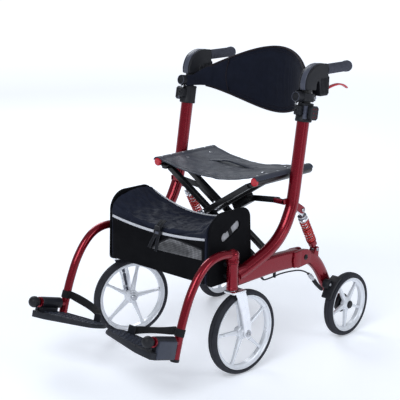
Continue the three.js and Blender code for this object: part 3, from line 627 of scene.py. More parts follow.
def bolt_head(centre, axis, radius, height):
    """A domed socket-head bolt."""
    socket = radius * 0.5
    profile = [(0, radius), (height * 0.45, radius), (height * 0.85, radius * 0.82), (height, radius * 0.62)]
    profile += [(height, socket), (height * 0.35, socket)]
    return turned(profile, centre, axis, 24)


def coil(top, axis, radius, wire, length, turns, sides=10, per_turn=26):
    """A compression spring with closed end turns."""
    axis = Vector(axis).normalized()
    side_way = axis.orthogonal().normalized()
    up = axis.cross(side_way)
    top = Vector(top)
    total = int(turns * per_turn)
    line = []
    for i in range(total + 1):
        share = i / total
        turn = 2 * math.pi * turns * share
        ease = share - 0.025 * math.sin(4 * math.pi * share)
        out = side_way * math.cos(turn) + up * math.sin(turn)
        line.append(top + axis * (length * ease) + out * radius)
    rings = []
    for i, point in enumerate(line):
        out = (point - top) - axis * (point - top).dot(axis)
        out.normalize()
        other = heading(line, i).cross(out)
        turns_round = [2 * math.pi * k / sides for k in range(sides)]
        rings.append([point + out * wire * math.cos(t) + other * wire * math.sin(t) for t in turns_round])
    return lofted(rings)


class Piece:
    """One visible object: shells in millimetres, each with a material, put on a body if it has one."""

    def __init__(self, name, body, slot, *replaced, place=NO_MOVE, smooth=35):
        self.name, self.body, self.slot, self.replaced = name, body, slot, replaced
        self.place, self.smooth = place, smooth
        self.points, self.faces, self.owners, self.materials = [], [], [], []

    def add(self, material, *shells):
        if material not in self.materials:
            self.materials.append(material)
        index = self.materials.index(material)
        for points, faces in shells:
            base = len(self.points)
            self.points.extend(points)
            self.faces.extend(tuple(base + i for i in face) for face in faces)
            self.owners.extend([index] * len(faces))

    def make(self):
        matrix = Matrix.Scale(MM, 4) @ self.place
        mesh = bpy.data.meshes.new(self.name)
        points, faces = moved((self.points, self.faces), matrix)
        mesh.from_pydata(points, [], faces)
        for material in self.materials:
            mesh.materials.append(material)
        mesh.polygons.foreach_set("material_index", self.owners)
        mesh.shade_smooth()
        mesh.set_sharp_from_angle(angle=math.radians(self.smooth))
        mesh.update()
        made = bpy.data.objects.new(self.name, mesh)
        bpy.context.scene.collection.objects.link(made)
        if self.body:
            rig.ride(made, self.body)
        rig.slot(made, self.slot)
        if self.replaced:
            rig.replaces(made, *self.replaced)
        return made


def half_piece(side, name, body, slot, *nodes, at=NO_MOVE, smooth=35):
    """A piece of one half, named without its side and mirrored on the right."""
    nodes = [f"{side}_{node}" for node in nodes]
    body = body and f"{side}_{body}"
    return Piece(f"{side}_{name}", body, slot, *nodes, place=SIDES[side] @ at, smooth=smooth)


def in_frame(pairs):
    """Points in a side frame's plane from (y, z) pairs."""
    return [Vector((FRAME_X, y, z)) for y, z in pairs]


def outward(spot, reach):
    """A point moved along X, with the way it moved: for bolts on both faces of a lug."""
    return Vector((spot[0] + reach, spot[1], spot[2])), X * math.copysign(1, reach)


# ---------- side frames ----------
TUBE_R = 19.0
GROOVES = (28, -28, 152, 208)  # degrees round the upright
GROOVE_DEPTH = 1.5
UPRIGHT_BEND = [(143, 492), (137, 466), (123, 436), (104, 404), (72, 372), (30, 348), (-28, 327)]
UPRIGHT_BEND += [(-76, 312), (-112, 303)]
HEAD_LOW, HEAD_HIGH = 266, 345
RAIL_LINE = [(-118, 302), (-30, 303), (70, 303), (164, 297)]
CLEVIS_X, CHEEK_X, CHEEK_HALF = 21, 17, 2.4  # from the frame's plane
EAR_X, EAR_HALF = 10.5, 2.5
BRACE_LUG = 5
BRACE_W = 17
BRACE_YS = {"left": (35, 100), "right": (12, 77)}  # middles of the tubes of the arm standing on that side


def grooved(share):
    """The upright's section: round, with two fine grooves along each broad side."""
    points = []
    for k in range(72):
        turn = 2 * math.pi * k / 72
        depth = 0
        for centre in GROOVES:
            away = (math.degrees(turn) - centre + 180) % 360 - 180
            depth += GROOVE_DEPTH * math.exp(-((away / 5.0) ** 2))
        points.append(((TUBE_R - depth) * math.cos(turn), (TUBE_R - depth) * math.sin(turn)))
    return points


def frame_tubes(side):
    piece = half_piece(side, "frame_tubes", "frame", "red_frame", "frame")
    straight = [(MAST_PLACE @ Vector((0, 0, z))).yz for z in (30, -60, -150)]
    piece.add(RED, swept(smooth_line(in_frame([*straight, *UPRIGHT_BEND]), 8), grooved))
    piece.add(RED, swept(smooth_line(in_frame(RAIL_LINE), 8), rounded_rect(14.5, 27.5, 8.5, 6)))
    low, high = HEAD_LOW, HEAD_HIGH
    head = [(low, 15.5), (low, 17.8), (low + 7, 17.8), (low + 8, 17)]
    head += [(high - 8, 17), (high - 7, 17.6), (high, 17.6)]
    stem = (STEM.x, STEM.y, 0)
    piece.add(RED, turned(head, stem, Z, 48))
    piece.add(BLACK_PLASTIC, turned([(low - 0.5, 14), (low + 3, 14)], stem, Z))
    # rear clevis
    piece.add(RED, box((FRAME_X - CLEVIS_X, 134, 273), (FRAME_X + CLEVIS_X, 168, 323), 5))
    cheek = lug((158, 297), 27, (SUSPENSION.y + 4, SUSPENSION.z), 24, 40)
    for x in (FRAME_X - CHEEK_X, FRAME_X + CHEEK_X):
        piece.add(RED, slab(cheek, x - CHEEK_HALF, x + CHEEK_HALF, 1.4))
    for way in (-1, 1):
        washer, out = outward((FRAME_X, *SUSPENSION.yz), way * (CHEEK_X + 2.2))
        piece.add(BLACK_METAL, turned([(0, 8.5), (1.2, 8.5), (1.2, 7.5)], washer, out, 32))
        piece.add(BLACK_METAL, bolt_head(washer + out * 1.2, out, 6, 3.6))
    # shock ears
    ear = lug((136, 470), 12, (SHOCK_TOP.y, SHOCK_TOP.z), 11)
    for way in (-1, 1):
        x = FRAME_X + way * EAR_X
        piece.add(RED, slab(ear, x - EAR_HALF, x + EAR_HALF, 1.2))
        piece.add(ZINC, bolt_head(*outward((FRAME_X, *SHOCK_TOP.yz), way * (EAR_X + 2.4)), 6, 4))
    # stabiliser lug and brace lugs
    x, y, z = LINK
    piece.add(
        RED,
        box((x - 9, y - 13, z - 8), (FRAME_X - 2, y - 4, z + 8), 2.5),
        box((FRAME_X - 14, y - 13, z - 8), (FRAME_X - 4, y + 14, z + 8), 2.5)
    )
    piece.add(ZINC, turned([(-6, 4), (6, 4)], LINK, Y, 20))
    front, rear = BRACE_YS[side][0] - 16, BRACE_YS[side][1] + 11
    for y in (front, rear):
        piece.add(RED, box((FOLD.x - 9, y, FOLD.z - 11), (FRAME_X - 8, y + BRACE_LUG, FOLD.z + 11), 1.6))
    piece.add(ZINC, bolt_head((FOLD.x, front, FOLD.z), -Y, 6, 4))
    piece.add(ZINC, bolt_head((FOLD.x, rear + BRACE_LUG, FOLD.z), Y, 6, 4))
    piece.make()


# ---------- mast parts ----------
FLUTE_DEPTH = 0.8
COLLAR_FLAT = -21.2
KNOB_Z = 30
BOSS_Z = 73
CLAMP_BOLT_Z = 73.5
GRIP_Z = 147
GRIP_RIBS, GRIP_PITCH = 22, 3.9


def collar(side):
    piece = half_piece(side, "collar_sleeve", "frame", "black_plastic", "collar", at=MAST_PLACE)

    def ring(z, radius):
        """Fluted between its ends, and flat on the inner side so that the folding seat rail clears it."""
        points = []
        for k in range(64):
            turn = 2 * math.pi * k / 64
            fluted = abs(math.sin(turn * 6)) > 0.93 and 9 < z < 50
            reach = radius - (FLUTE_DEPTH if fluted else 0)
            points.append(Vector((max(reach * math.cos(turn), COLLAR_FLAT), reach * math.sin(turn), z)))
        return points

    heights = [(1, 19.8), (1, 23.5), (3, 25), (8, 25), (9.5, 24.4)]
    heights += [(50, 24.4), (51.5, 25), (55, 25), (57, 23), (57, 15.6)]
    piece.add(
        BLACK_PLASTIC,
        lofted([ring(z, radius) for z, radius in heights]),
        box((-12, -38, 20), (12, -18, 48), 4),
        bolt_head((0, -37.6, 34), -Y, 7, 3),
        box((19, -13, 12), (27, 13, 49), 3)
    )
    piece.add(GREY_PLASTIC, box((13, -24.5, 10), (23, -14, 50), 2.5))
    # quick-release lever: a small bright hook at the top of the front
    lever = smooth_line([(-4, -24, 55), (-4, -30, 59), (-4, -36, 57), (-4, -39, 50)], 5)
    piece.add(CHROME, swept(lever, rounded_rect(5, 1.3, 1.0, 3)))
    piece.make()


def height_knob(side):
    piece = half_piece(side, "height_knob", "collar_knob", "black_plastic", "collar_knob", at=MAST_PLACE)
    outline = [(-19, 15), (-12, 9), (12, 9), (19, 15), (19, 45), (12, 51), (-12, 51), (-19, 45)]
    piece.add(BLACK_PLASTIC, slab(outline, 28.5, 38, 2.4))
    piece.add(BLACK_PLASTIC, turned([(25.5, 10), (29.5, 10)], (0, 0, KNOB_Z), X, 28))
    dot = [(37.2, 2.6), (38.4, 2.6), (38.4, 1.9), (37.8, 1.7)]
    for y in (-6.5, 6.5):
        for z in (KNOB_Z - 12, KNOB_Z, KNOB_Z + 12):
            piece.add(RED, turned(dot, (0, y, z), X, 16))
    piece.make()


HOOK = [(-6, 97), (-7, 112), (-4, 126), (2, 139), (10, 150), (20, 157.5), (32, 163), (46, 167), (58, 168)]
HOOK_END = (98, 165)
HOOK_HALF = 16
HOOK_INSIDE = [(98, 130), (104, 126), (102, 78), (96, 70), (60, 71), (57, 96), (54, 115), (47, 119)]
HOOK_INSIDE += [(42, 110), (40, 92)]


def handle(side):
    piece = half_piece(side, "handle", "handle", "black_plastic", "handle_arm", at=UPRIGHTED)
    outside = [(p.y, p.z) for p in smooth_line([(0, y, z) for y, z in [*HOOK, HOOK_END]], 4)]
    piece.add(BLACK_PLASTIC, slab(outside + HOOK_INSIDE, -HOOK_HALF, HOOK_HALF, 5, 4))
    # raised lighter grey band round the hook's outer edge: a painted highlight along its rounded edge
    band = smooth_line([(0, y, z) for y, z in HOOK], 6)
    piece.add(GREY_PLASTIC, swept(band, rounded_rect(9, 1.6, 1.2, 3)))
    # ribs of the brake housing
    for index in range(6):
        y = 64 + index * 6.6
        for x in (-HOOK_HALF, HOOK_HALF):
            piece.add(BLACK_PLASTIC, box((x - 1.6, y - 1.6, 76), (x + 1.6, y + 1.6, 124), 1.0, 2))
    post = turned([(-150, 14), (-148, 15), (98, 15), (98, 14)], (0, 0, 0), Z)
    piece.add(BLACK_METAL, moved(post, Matrix.Rotation(-MAST_LEAN, 4, "X")))
    piece.make()


def grip(side):
    piece = half_piece(side, "grip_sleeve", "handle", "grip_rubber", "grip", at=UPRIGHTED)
    profile = [(98.5, 13), (98.5, 17), (101, 17.6), (105, 17), (106, 15.2)]
    for index in range(GRIP_RIBS):
        start = 109 + index * GRIP_PITCH
        profile += [(start, 15.0), (start + 0.9, 15.6), (start + 2.6, 15.6), (start + 3.5, 15.0)]
    profile += [(196, 15.2), (202, 17.2), (212, 17.4), (218, 15.5), (222, 10), (222.5, 4)]
    piece.add(GRIP, turned(profile, (0, 0, GRIP_Z), Y))
    piece.make()


def band_clamp(side):
    piece = half_piece(side, "strap_clamp", "handle", "black_plastic", "band_clamp", at=MAST_PLACE)
    ring = [(61, 15.4), (61, 22.5), (62.5, 24), (67, 24), (68, 23.4)]
    ring += [(79, 23.4), (80, 24), (84.5, 24), (86, 22.5), (86, 15.4)]
    boss = [(18, 16), (44, 16), (46.5, 15.2), (47.4, 13.6), (46.2, 12.4)]
    boss += [(46.2, 10.4), (47.2, 9.4), (47.2, 7.2), (46, 6.2), (46, 1)]
    centre = (-4, 0, BOSS_Z)
    piece.add(BLACK_PLASTIC, turned(ring, (0, 0, 0), Z, 48, closed=True), turned(boss, centre, -Y))
    rim = [(45.4, 14.2), (47.9, 13.8), (48.1, 12.6), (46, 12.4)]
    piece.add(GREY_PLASTIC, turned(rim, centre, -Y, closed=True))
    piece.add(BLACK_PLASTIC, box((-9, 20, 64), (9, 37, 83), 3))
    piece.add(ZINC, *[bolt_head(*outward((0, 30, CLAMP_BOLT_Z), x), 5, 3.4) for x in (9, -9)])
    piece.make()


def brake_lever(side):
    piece = half_piece(side, "brake_blade", "brake_lever", "red_plastic", "brake_lever", at=UPRIGHTED)
    bend = [(107, 87), (120, 90), (142, 94), (168, 95.5), (188, 92), (203, 86), (214, 80)]

    def section(share):
        return rounded_rect(5 + 1.5 * math.sin(share * math.pi), 3.0 - 0.6 * share, 2.0, 3)(share)

    piece.add(RED_PLASTIC, swept(smooth_line([(0, y, z) for y, z in bend], 6), section))
    piece.make()


# ---------- wheels ----------
FRONT_R = joint_place("left_front_wheel_spin").z
REAR_R = REAR_AXLE.z
FRONT_TURN, REAR_TURN = 13, -40  # where the first spoke stands, in degrees
SPOKES = 5
FRONT_HUB = [(5, 22), (8.5, 20), (10, 15), (15, 15), (18, 13), (18, 10)]
REAR_HUB = [(-9, 12), (-9, 17), (-6, 20), (5, 21), (8, 19), (12, 15), (14, 13.5)]


def both_ways(half):
    """A profile made of its outer half and that half's mirror."""
    return [(-along, radius) for along, radius in reversed(half)] + half


def standing(axis, across, up_column, spot):
    """A placing matrix with X along an axis and Y across it, upright."""
    rows = [(axis[i], across[i], up_column[i], spot[i]) for i in range(3)]
    return Matrix((*rows, (0, 0, 0, 1)))


def wheel(side, end, turn, hub_profile):
    """A tyre and a five-spoked rim, turned about the wheel's own joint. Returns the rim's unmade piece."""
    joint = JOINTS[f"{side}_{end}_wheel_spin"]
    axis = Vector(joint["axis"]) * (1 if side == "left" else -1)
    centre = joint_place(joint["name"])
    place = standing(axis, Z.cross(axis).normalized(), Z, centre)
    radius = centre.z
    lip = half_size(f"left_{end}_rim", 2)
    inner = lip + 0.6
    body = f"{side}_{end}_wheel"
    tyre = Piece(f"{side}_{end}_tyre_ring", body, "tyre_rubber", f"{side}_{end}_tyre", place=place)
    tread = [
        (3.8, radius - 0.1), (4.2, radius - 1.6), (5.2, radius - 1.6), (5.6, radius - 0.35),
        (9.4, radius - 1.2), (13.4, radius - 3.4), (15.6, radius - 7),
        (16, inner + 6), (14.5, inner + 1.5), (12, inner)
    ]
    tyre.add(TYRE, turned(both_ways(tread), sides=96, closed=True))
    tyre.make()

    rim = Piece(f"{side}_{end}_rim_wheel", body, "rim_plastic", f"{side}_{end}_rim", place=place)
    band = [
        (6, lip - 12.5), (8.6, lip - 9.5), (9.5, lip - 5), (12.6, lip - 4), (14, lip - 2.5), (13.6, lip - 0.4)
    ]
    rim.add(RIM, turned(both_ways(band), sides=96, closed=True))
    for index in range(SPOKES):
        around = math.radians(turn) + index * 2 * math.pi / SPOKES
        rim.add(RIM, moved(spoke(lip - 10.5), Matrix.Rotation(around, 4, "X")))
    rim.add(RIM, turned(hub_profile))
    return rim


def spoke(reach):
    """A spoke that narrows outwards, with a raised ridge on each face."""
    rings = []
    for k in range(9):
        share = k / 8
        z = 8 + (reach - 8) * share
        half = 7.6 - 4 * min(1, share * 1.25) + 2.5 * max(0, share - 0.85) / 0.15
        deep = 5.6 - 1.6 * share
        ridge = deep + 2.2 * (1 - 0.4 * share)
        shoulder, middle = deep + 0.2, half * 0.42
        face = [(deep, -half), (shoulder, -middle), (ridge, 0), (shoulder, middle), (deep, half)]
        rings.append([Vector((a, b, z)) for a, b in face + [(-a, b) for a, b in reversed(face)]])
    return rounded(lofted(rings), 0.9, 2, 40)


def wheels(side):
    wheel(side, "front", FRONT_TURN, both_ways(FRONT_HUB)).make()
    rear = wheel(side, "rear", REAR_TURN, REAR_HUB)
    rear.add(BLACK_PLASTIC, turned([(12, 12.6), (17, 12.2), (18.6, 10), (18.8, 4)], sides=32))
    rear.make()


# ---------- caster forks: one leg each, on the wheel's outer side ----------
CROWN = 266
HOLLOWS = (((12, 246), (27, 206), 6.5, 5), ((29, 196), (36, 160), 5, 3.6), ((38, 150), (41, 140), 3, 3))


def caster_fork(side):
    """In the caster's own place: origin on the floor under its stem, +Y towards its trailing wheel."""
    spin = JOINTS[f"{side}_front_wheel_spin"]
    stem, hub = joint_place(f"{side}_caster_swivel"), joint_place(spin["name"])
    sign = 1 if side == "left" else -1
    axis = Vector(spin["axis"]) * sign
    place = standing(axis, Z.cross(axis).normalized() * sign, Z, (stem.x, stem.y, 0))
    trail = math.hypot(hub.x - stem.x, hub.y - stem.y)
    nodes = (f"{side}_caster_fork", f"{side}_front_axle")
    piece = Piece(f"{side}_fork", f"{side}_caster", "polished_alloy", *nodes, place=place)
    shaft = [(CROWN - 6, 12), (CROWN - 1, 14), (CROWN - 0.6, 8), (CROWN + 36, 8)]
    outline = [
        (-14, CROWN - 2), (28, CROWN - 2), (37, 236), (48, 190), (57, FRONT_R + 6), (56, FRONT_R - 6),
        (50, FRONT_R - 14), (42, FRONT_R - 15.5), (34, FRONT_R - 11), (30, FRONT_R - 2), (28, FRONT_R + 8),
        (18, 190), (0, 238)
    ]
    crown = box((-14, -20, CROWN - 9), (27, 32, CROWN - 2), 3)
    piece.add(CHROME, turned(shaft, axis=Z, sides=32), crown, slab(outline, 21, 27, 1.6))
    # the hollows of the leg's inner face, drawn as thin dark grey patches: painted shade in place of recesses
    for start, end, r0, r1 in HOLLOWS:
        piece.add(GREY_PLASTIC, slab(lug(start, r0, end, r1, 20), 20.6, 21.6, 0.1, 1))
    axle = (0, trail, FRONT_R)
    piece.add(
        ZINC,
        turned([(27.2, 11.5), (28.4, 11), (28.4, 9)], axle, X, 32),
        bolt_head((28.2, trail, FRONT_R), X, 6.6, 3.6),
        turned([(-18.6, 9), (-22.6, 9), (-24, 7.4)], axle, X, 28),
        turned([(18.4, 6.5), (22, 6.5)], axle, X, 24),
        turned([(-23, 4), (27, 4)], axle, X, 20)
    )
    piece.make()


# ---------- rear suspension ----------
ARM = [(176, 296), (205, 293), (238, 280), (268, 256), (294, 224), (318, 186), (346, 148), (390, 104)]
LOW_EAR_X, LOW_EAR_HALF = 9, 2.4
BRAKE_ARC = (158, 116)  # degrees round the rear wheel that the brake's cover spans
BRAKE_RIBS = range(121, 154, 8)
CABLE_ANCHOR = (0, 300, 186)
SHOCK_LENGTH = math.hypot(SHOCK_LOW.y - SHOCK_TOP.y, SHOCK_LOW.z - SHOCK_TOP.z)
SPRING_TOP, SPRING_BOTTOM = -42, -125
SPRING_R, SPRING_WIRE, SPRING_TURNS, SPRING_GAP = 12.8, 2.8, 9, 2.2


def rear_arm(side):
    piece = half_piece(side, "swing_arm", "rear_arm", "red_frame", "rear_arm")

    def section(share):
        """A rounded box whose height shrinks along the arm."""
        tall = 23.5 - 4 * share
        points = []
        for k in range(40):
            c, s = math.cos(2 * math.pi * k / 40), math.sin(2 * math.pi * k / 40)
            points.append((13.6 * math.copysign(abs(c) ** 0.8, c), tall * math.copysign(abs(s) ** 0.85, s)))
        return points

    piece.add(RED, swept(smooth_line(in_frame(ARM), 7), section))
    ear = lug((SHOCK_LOW.y - 8, SHOCK_LOW.z - 26), 14, (SHOCK_LOW.y, SHOCK_LOW.z), 9)
    for way in (-1, 1):
        x = FRAME_X + way * LOW_EAR_X
        piece.add(RED, slab(ear, x - LOW_EAR_HALF, x + LOW_EAR_HALF, 1.2))
        piece.add(ZINC, bolt_head(*outward(SHOCK_LOW, way * (LOW_EAR_X + 2.2)), 5.5, 3.6))
    axle = Vector((0, REAR_AXLE.y, REAR_AXLE.z))
    drum = [(FRAME_X + 6, 27), (FRAME_X + 14, 30), (REAR_AXLE.x - 14, 30), (REAR_AXLE.x - 11.5, 27)]
    piece.add(BLACK_PLASTIC, turned(drum, axle, X, 48))
    piece.add(
        ZINC,
        turned([(FRAME_X - 15, 12), (FRAME_X - 13, 15), (FRAME_X - 4, 15)], axle, X, 32),
        turned([(REAR_AXLE.x - 12, 6), (REAR_AXLE.x + 17, 6)], axle, X, 20)
    )
    piece.make()


def brake_housing(side):
    piece = half_piece(side, "brake_cover", "rear_arm", "black_plastic", "brake_housing")
    axle = REAR_AXLE.yz
    first, last = BRAKE_ARC
    outline = arc_points(axle, REAR_R + 4.2, first, last, 12)
    outline += arc_points(axle, REAR_R + 14, last, first, 12)
    piece.add(BLACK_PLASTIC, slab(outline, FRAME_X + 14.8, REAR_AXLE.x + 14.5, 4))
    for angle in BRAKE_RIBS:
        y, z = arc_points(axle, REAR_R + 13, angle, angle, 1)[0]
        turn = Matrix.Translation((0, y, z)) @ Matrix.Rotation(math.radians(angle - 90), 4, "X")
        rib = box((FRAME_X + 19, -2, -2), (REAR_AXLE.x + 10, 2, 1.6), 0.9, 2)
        piece.add(BLACK_PLASTIC, moved(rib, turn))
    anchor = [(FRAME_X + 13, 13), (FRAME_X + 15, 15.5), (REAR_AXLE.x - 3, 15.5), (REAR_AXLE.x, 14)]
    piece.add(BLACK_PLASTIC, turned(anchor, CABLE_ANCHOR, X, 32))
    piece.add(ZINC, bolt_head((REAR_AXLE.x - 0.5, *CABLE_ANCHOR[1:]), X, 5, 3))
    piece.make()


def shock(side):
    """In the shock's own place: origin at its upper eye, -Z towards the lower one."""
    lean = math.atan2(SHOCK_LOW.y - SHOCK_TOP.y, SHOCK_TOP.z - SHOCK_LOW.z)
    place = Matrix.Translation((FRAME_X, SHOCK_TOP.y, SHOCK_TOP.z)) @ Matrix.Rotation(lean, 4, "X")

    def along(profile, sides):
        return turned(profile, axis=Z, sides=sides)

    body = half_piece(side, "shock_cylinder", "shock_body", "polished_alloy", "shock_body", at=place)
    body.add(CHROME, turned([(-7, 7), (-7, 9), (7, 9), (7, 7)], sides=32))
    body.add(CHROME, box((-6, -6, -26), (6, 6, -4), 1.5))
    body.add(ZINC, along([(-30, 11), (-28, 14), (-24, 14), (-22, 10)], 36))
    collar_ring = [(SPRING_TOP + 0.8, 13), (SPRING_TOP + 2, 15), (-35, 15), (-33, 12)]
    body.add(CHROME, along(collar_ring, 36), along([(-96, 7), (SPRING_TOP + 6, 7.5), (-30, 7.5)], 28))
    body.make()

    low = SPRING_BOTTOM
    rod = half_piece(side, "shock_piston", "shock_rod", "red_frame", "shock_rod", at=place)
    rod.add(CHROME, along([(low - 6, 4), (-70, 4)], 20))
    rod.add(
        RED,
        along([(low - 4, 15), (low - 1, 15), (low - 1, 13)], 36),
        box((-10, -10, low - 24), (10, 10, low - 4), 3),
        box((-5.5, -6, -SHOCK_LENGTH), (5.5, 6, low - 20), 1.5)
    )
    eye = [(-5.5, 7), (-5.2, 8), (5.2, 8), (5.5, 7)]
    rod.add(ZINC, turned(eye, (0, 0, -SHOCK_LENGTH), X, 28))
    rod.make()

    spring = half_piece(side, "coil_spring", None, "spring_red", "shock_spring", at=place, smooth=60)
    length = SPRING_TOP - low - 2 * SPRING_GAP
    wound = coil((0, 0, SPRING_TOP - SPRING_GAP), -Z, SPRING_R, SPRING_WIRE, length, SPRING_TURNS)
    spring.add(SPRING_RED, wound)
    top, bottom = (spring.place @ Vector((0, 0, z)) * MM for z in (SPRING_TOP, low))
    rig.blend(spring.make(), f"{side}_shock_body", f"{side}_shock_rod", start=tuple(top), end=tuple(bottom))


# ---------- footrests ----------
HANGER = [(-168, 376), (-206, 374), (-241, 361), (-274, 333), (-303, 293), (-323, 252), (-340, 208)]
HANGER += [(-357, 152), (-366, 118)]
SOCKET_Z = 345.5
BORE = 11.7
PLATE_TOP = -26
PLATE_THICK = 20
PLATE_DEEP = 44
PLATE_RISE = 0.06
PLATE_FRONT = -110
RIB_ROWS, RIB_ROW_PITCH = 7, 11.5
RIBS_IN_ROW, RIB_PITCH = 12, 15.6
HANGER_R = 12.5
PLATE_OUTLINE = [
    (19, -93), (12, -108), (-45, PLATE_FRONT), (-189, -79), (-202, -73), (-210, -60), (-213, -41),
    (-212, -26), (-205, -12), (-191, -5), (-26, -5), (-19, -14), (19, -14)
]


def hanger(side):
    piece = half_piece(side, "hanger_tube", "hanger", "red_frame", "hanger")
    piece.add(RED, swept(smooth_line(in_frame([(STEM.y, 368), *HANGER]), 7), round_section(HANGER_R, 36)))
    end = smooth_line(in_frame([(-365.1, 121), (-366.6, 115), (-367.2, 112.6)]), 4)
    piece.add(
        BLACK_PLASTIC, swept(end, lambda share: round_section(13.1 - 3.5 * max(0, share - 0.7))(share))
    )
    z = SOCKET_Z
    socket = [(z, 17), (z + 1, 19), (z + 5, 19), (z + 6, 18.4)]
    socket += [(z + 22, 19), (z + 29, 18.6), (z + 34, 15.5), (z + 37, 9)]
    piece.add(
        RED,
        turned(socket, (STEM.x, STEM.y, 0), Z, 48),
        bolt_head((STEM.x, STEM.y, z + 35.5), Z, 7.5, 4.5),
        bolt_head((STEM.x + 17.5, STEM.y - 2, z + 14), X, 6, 4.2),
        moved(turned([(0, 11), (99, 11)], axis=-Y, sides=32), FOOT_PLACE),
        moved(turned([(92.8, 12), (93.4, 15.4), (98, 15.4), (99, 13)], axis=-Y), FOOT_PLACE)
    )
    piece.make()


def foot_knob(side):
    piece = half_piece(side, "ball_knob", "hanger", "black_plastic", "footplate_knob", at=FOOT_PLACE)
    profile = [(100.4, 8), (102, 11.5)]
    for k in range(1, 13):
        turn = math.pi * (0.2 + 0.78 * k / 12)
        profile.append((117 - 17 * math.cos(turn), 17 * math.sin(turn)))
    piece.add(BLACK_PLASTIC, turned(profile, axis=-Y, sides=44))
    piece.make()


def plate_top(x):
    """The plate thins towards its inner end."""
    return PLATE_TOP + min(0, x) * 0.018


def plate_ribs():
    """The tread: staggered rows of short ribs, left out where the plate's outline cuts in."""
    for row in range(RIB_ROWS):
        y = -18 - row * RIB_ROW_PITCH
        for index in range(RIBS_IN_ROW):
            x = -18 - index * RIB_PITCH - (row % 2) * 5
            front = PLATE_FRONT + max(0, -45 - x) * 31 / 144
            if y - 4 >= front + 4 and x >= -199:
                top = plate_top(x - 5)
                yield box((x - 11, y - 2, top - 0.8), (x, y + 2, top + 1.8), 0.8, 2)


def footplate(side):
    piece = half_piece(side, "tread_plate", "footplate", "black_plastic", "footplate", at=FOOT_PLACE)
    sleeve = [(16, BORE), (16, 14.5), (17.5, 16), (90.5, 16), (92.2, 14.5), (92.2, BORE)]
    piece.add(PLATE_PLASTIC, turned(sleeve, axis=-Y, sides=44, closed=True))
    wall = [(-90, 6), (-18, 6), (-17, -PLATE_DEEP), (-92, -PLATE_DEEP)]
    piece.add(PLATE_EDGE, slab(wall, 9, 20.5, 3.5))
    rise = Matrix.Rotation(PLATE_RISE, 4, "Y")
    underside = [Vector((x, y, PLATE_TOP - PLATE_THICK - min(0, x) * 0.03)) for x, y in PLATE_OUTLINE]
    top = [Vector((x, y, plate_top(x))) for x, y in PLATE_OUTLINE]
    piece.add(PLATE_PLASTIC, moved(rounded(lofted([underside, top]), 2.4, 3, 50), rise))
    piece.add(PLATE_EDGE, *[moved(rib, rise) for rib in plate_ribs()])
    # a low lip inside the outline
    lip = smooth_line([Vector((x, y, plate_top(x) + 0.4)) for x, y in PLATE_OUTLINE[2:11]], 4)
    inward = [p.lerp(Vector((-110, -48, p.z)), 0.035) for p in lip]
    piece.add(PLATE_PLASTIC, moved(swept(inward, rounded_rect(1.6, 1.2, 0.8, 2), Z), rise))
    web = box((-8, -88, -30), (12, -24, -13.5), 3)
    heel_strap_tab = box((-176, -14, PLATE_TOP - 4), (-150, -9, PLATE_TOP + 22), 1.8)
    piece.add(PLATE_PLASTIC, web, moved(heel_strap_tab, rise))
    piece.make()


# ---------- brace ----------
RAIL_LOW, RAIL_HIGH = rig.box("left_seat_rail")
SEAT_RAIL = (RAIL_LOW + RAIL_HIGH) / 2 / MM
SEAT_RAIL_R = half_size("left_seat_rail", 2)
SEAT_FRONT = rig.box("left_seat_rail_cap")[0].y / MM
SEAT_REAR = RAIL_HIGH.y / MM
SLOPE = math.atan2(CROSS.z - FOLD.z, FOLD.x)
HALF_TUBE = BRACE_W / 2


def brace_arm(name, side, place):
    """An arm that stands on one side frame and carries the other side's seat rail."""
    ys = BRACE_YS[side]
    piece = Piece(f"{name}_tubes", name.replace("_arm", ""), "black_metal", name, place=place)
    down = math.hypot(FOLD.x, CROSS.z - FOLD.z)
    up = math.hypot(SEAT_RAIL.x, SEAT_RAIL.z - CROSS.z) - SEAT_RAIL_R - 18
    along = Matrix.Translation((0, 0, CROSS.z)) @ Matrix.Rotation(SLOPE, 4, "Y")
    for y in ys:
        tube = box((-up, y - HALF_TUBE, -HALF_TUBE), (down, y + HALF_TUBE, HALF_TUBE), 2.2)
        piece.add(BLACK_METAL, moved(tube, along))
        for way in (-1, 1):
            face = (0, y + way * HALF_TUBE * 0.98, CROSS.z)
            piece.add(ZINC, turned([(0, 8), (0.9, 8)], face, Y * way, 24))
    front, rear = ys[0] - HALF_TUBE, ys[1] + HALF_TUBE
    foot = turned([(front, 9), (front, 10), (rear, 10), (rear, 9)], (FOLD.x, 0, FOLD.z), Y, 32)
    reach = up + 10
    x, z = -math.cos(SLOPE) * reach, CROSS.z + math.sin(SLOPE) * reach
    saddle = box((x - 6, SEAT_FRONT + 10, z - 9), (x + 12, SEAT_REAR - 70, z + 3), 2)
    piece.add(BLACK_METAL, foot, saddle)
    # plates that join the arm to its rail
    outline = [
        (-SEAT_RAIL.x + 2, SEAT_RAIL.z - 10), (x - 4, z - 9), (x + 10, z - 9), (x + 10, z + 2),
        (-SEAT_RAIL.x + 12, SEAT_RAIL.z - 8)
    ]
    piece.add(BLACK_METAL, *[plate(outline, y, 3) for y in (*ys, SEAT_FRONT + 16)])
    # slotted bracket for the stabiliser link; its last thin plate closes the slot's front window with a dark sheet:
    # painted shade
    front, back = rear - 1, LINK.y - 4.2
    bracket = (
        ((-118, front, -31.2), (-46, back, -25.2)),
        ((-118, front, -13.2), (-46, back, -4)),
        ((-118, front, -26), (-112, back, -12)),
        ((-52, front, -26), (-46, back, -12)),
        ((-114, front - 1, -27), (-50, front - 0.2, -11))
    )
    piece.add(BLACK_METAL, *[moved(box(low, high, 0.8, 2), along) for low, high in bracket])
    piece.make()


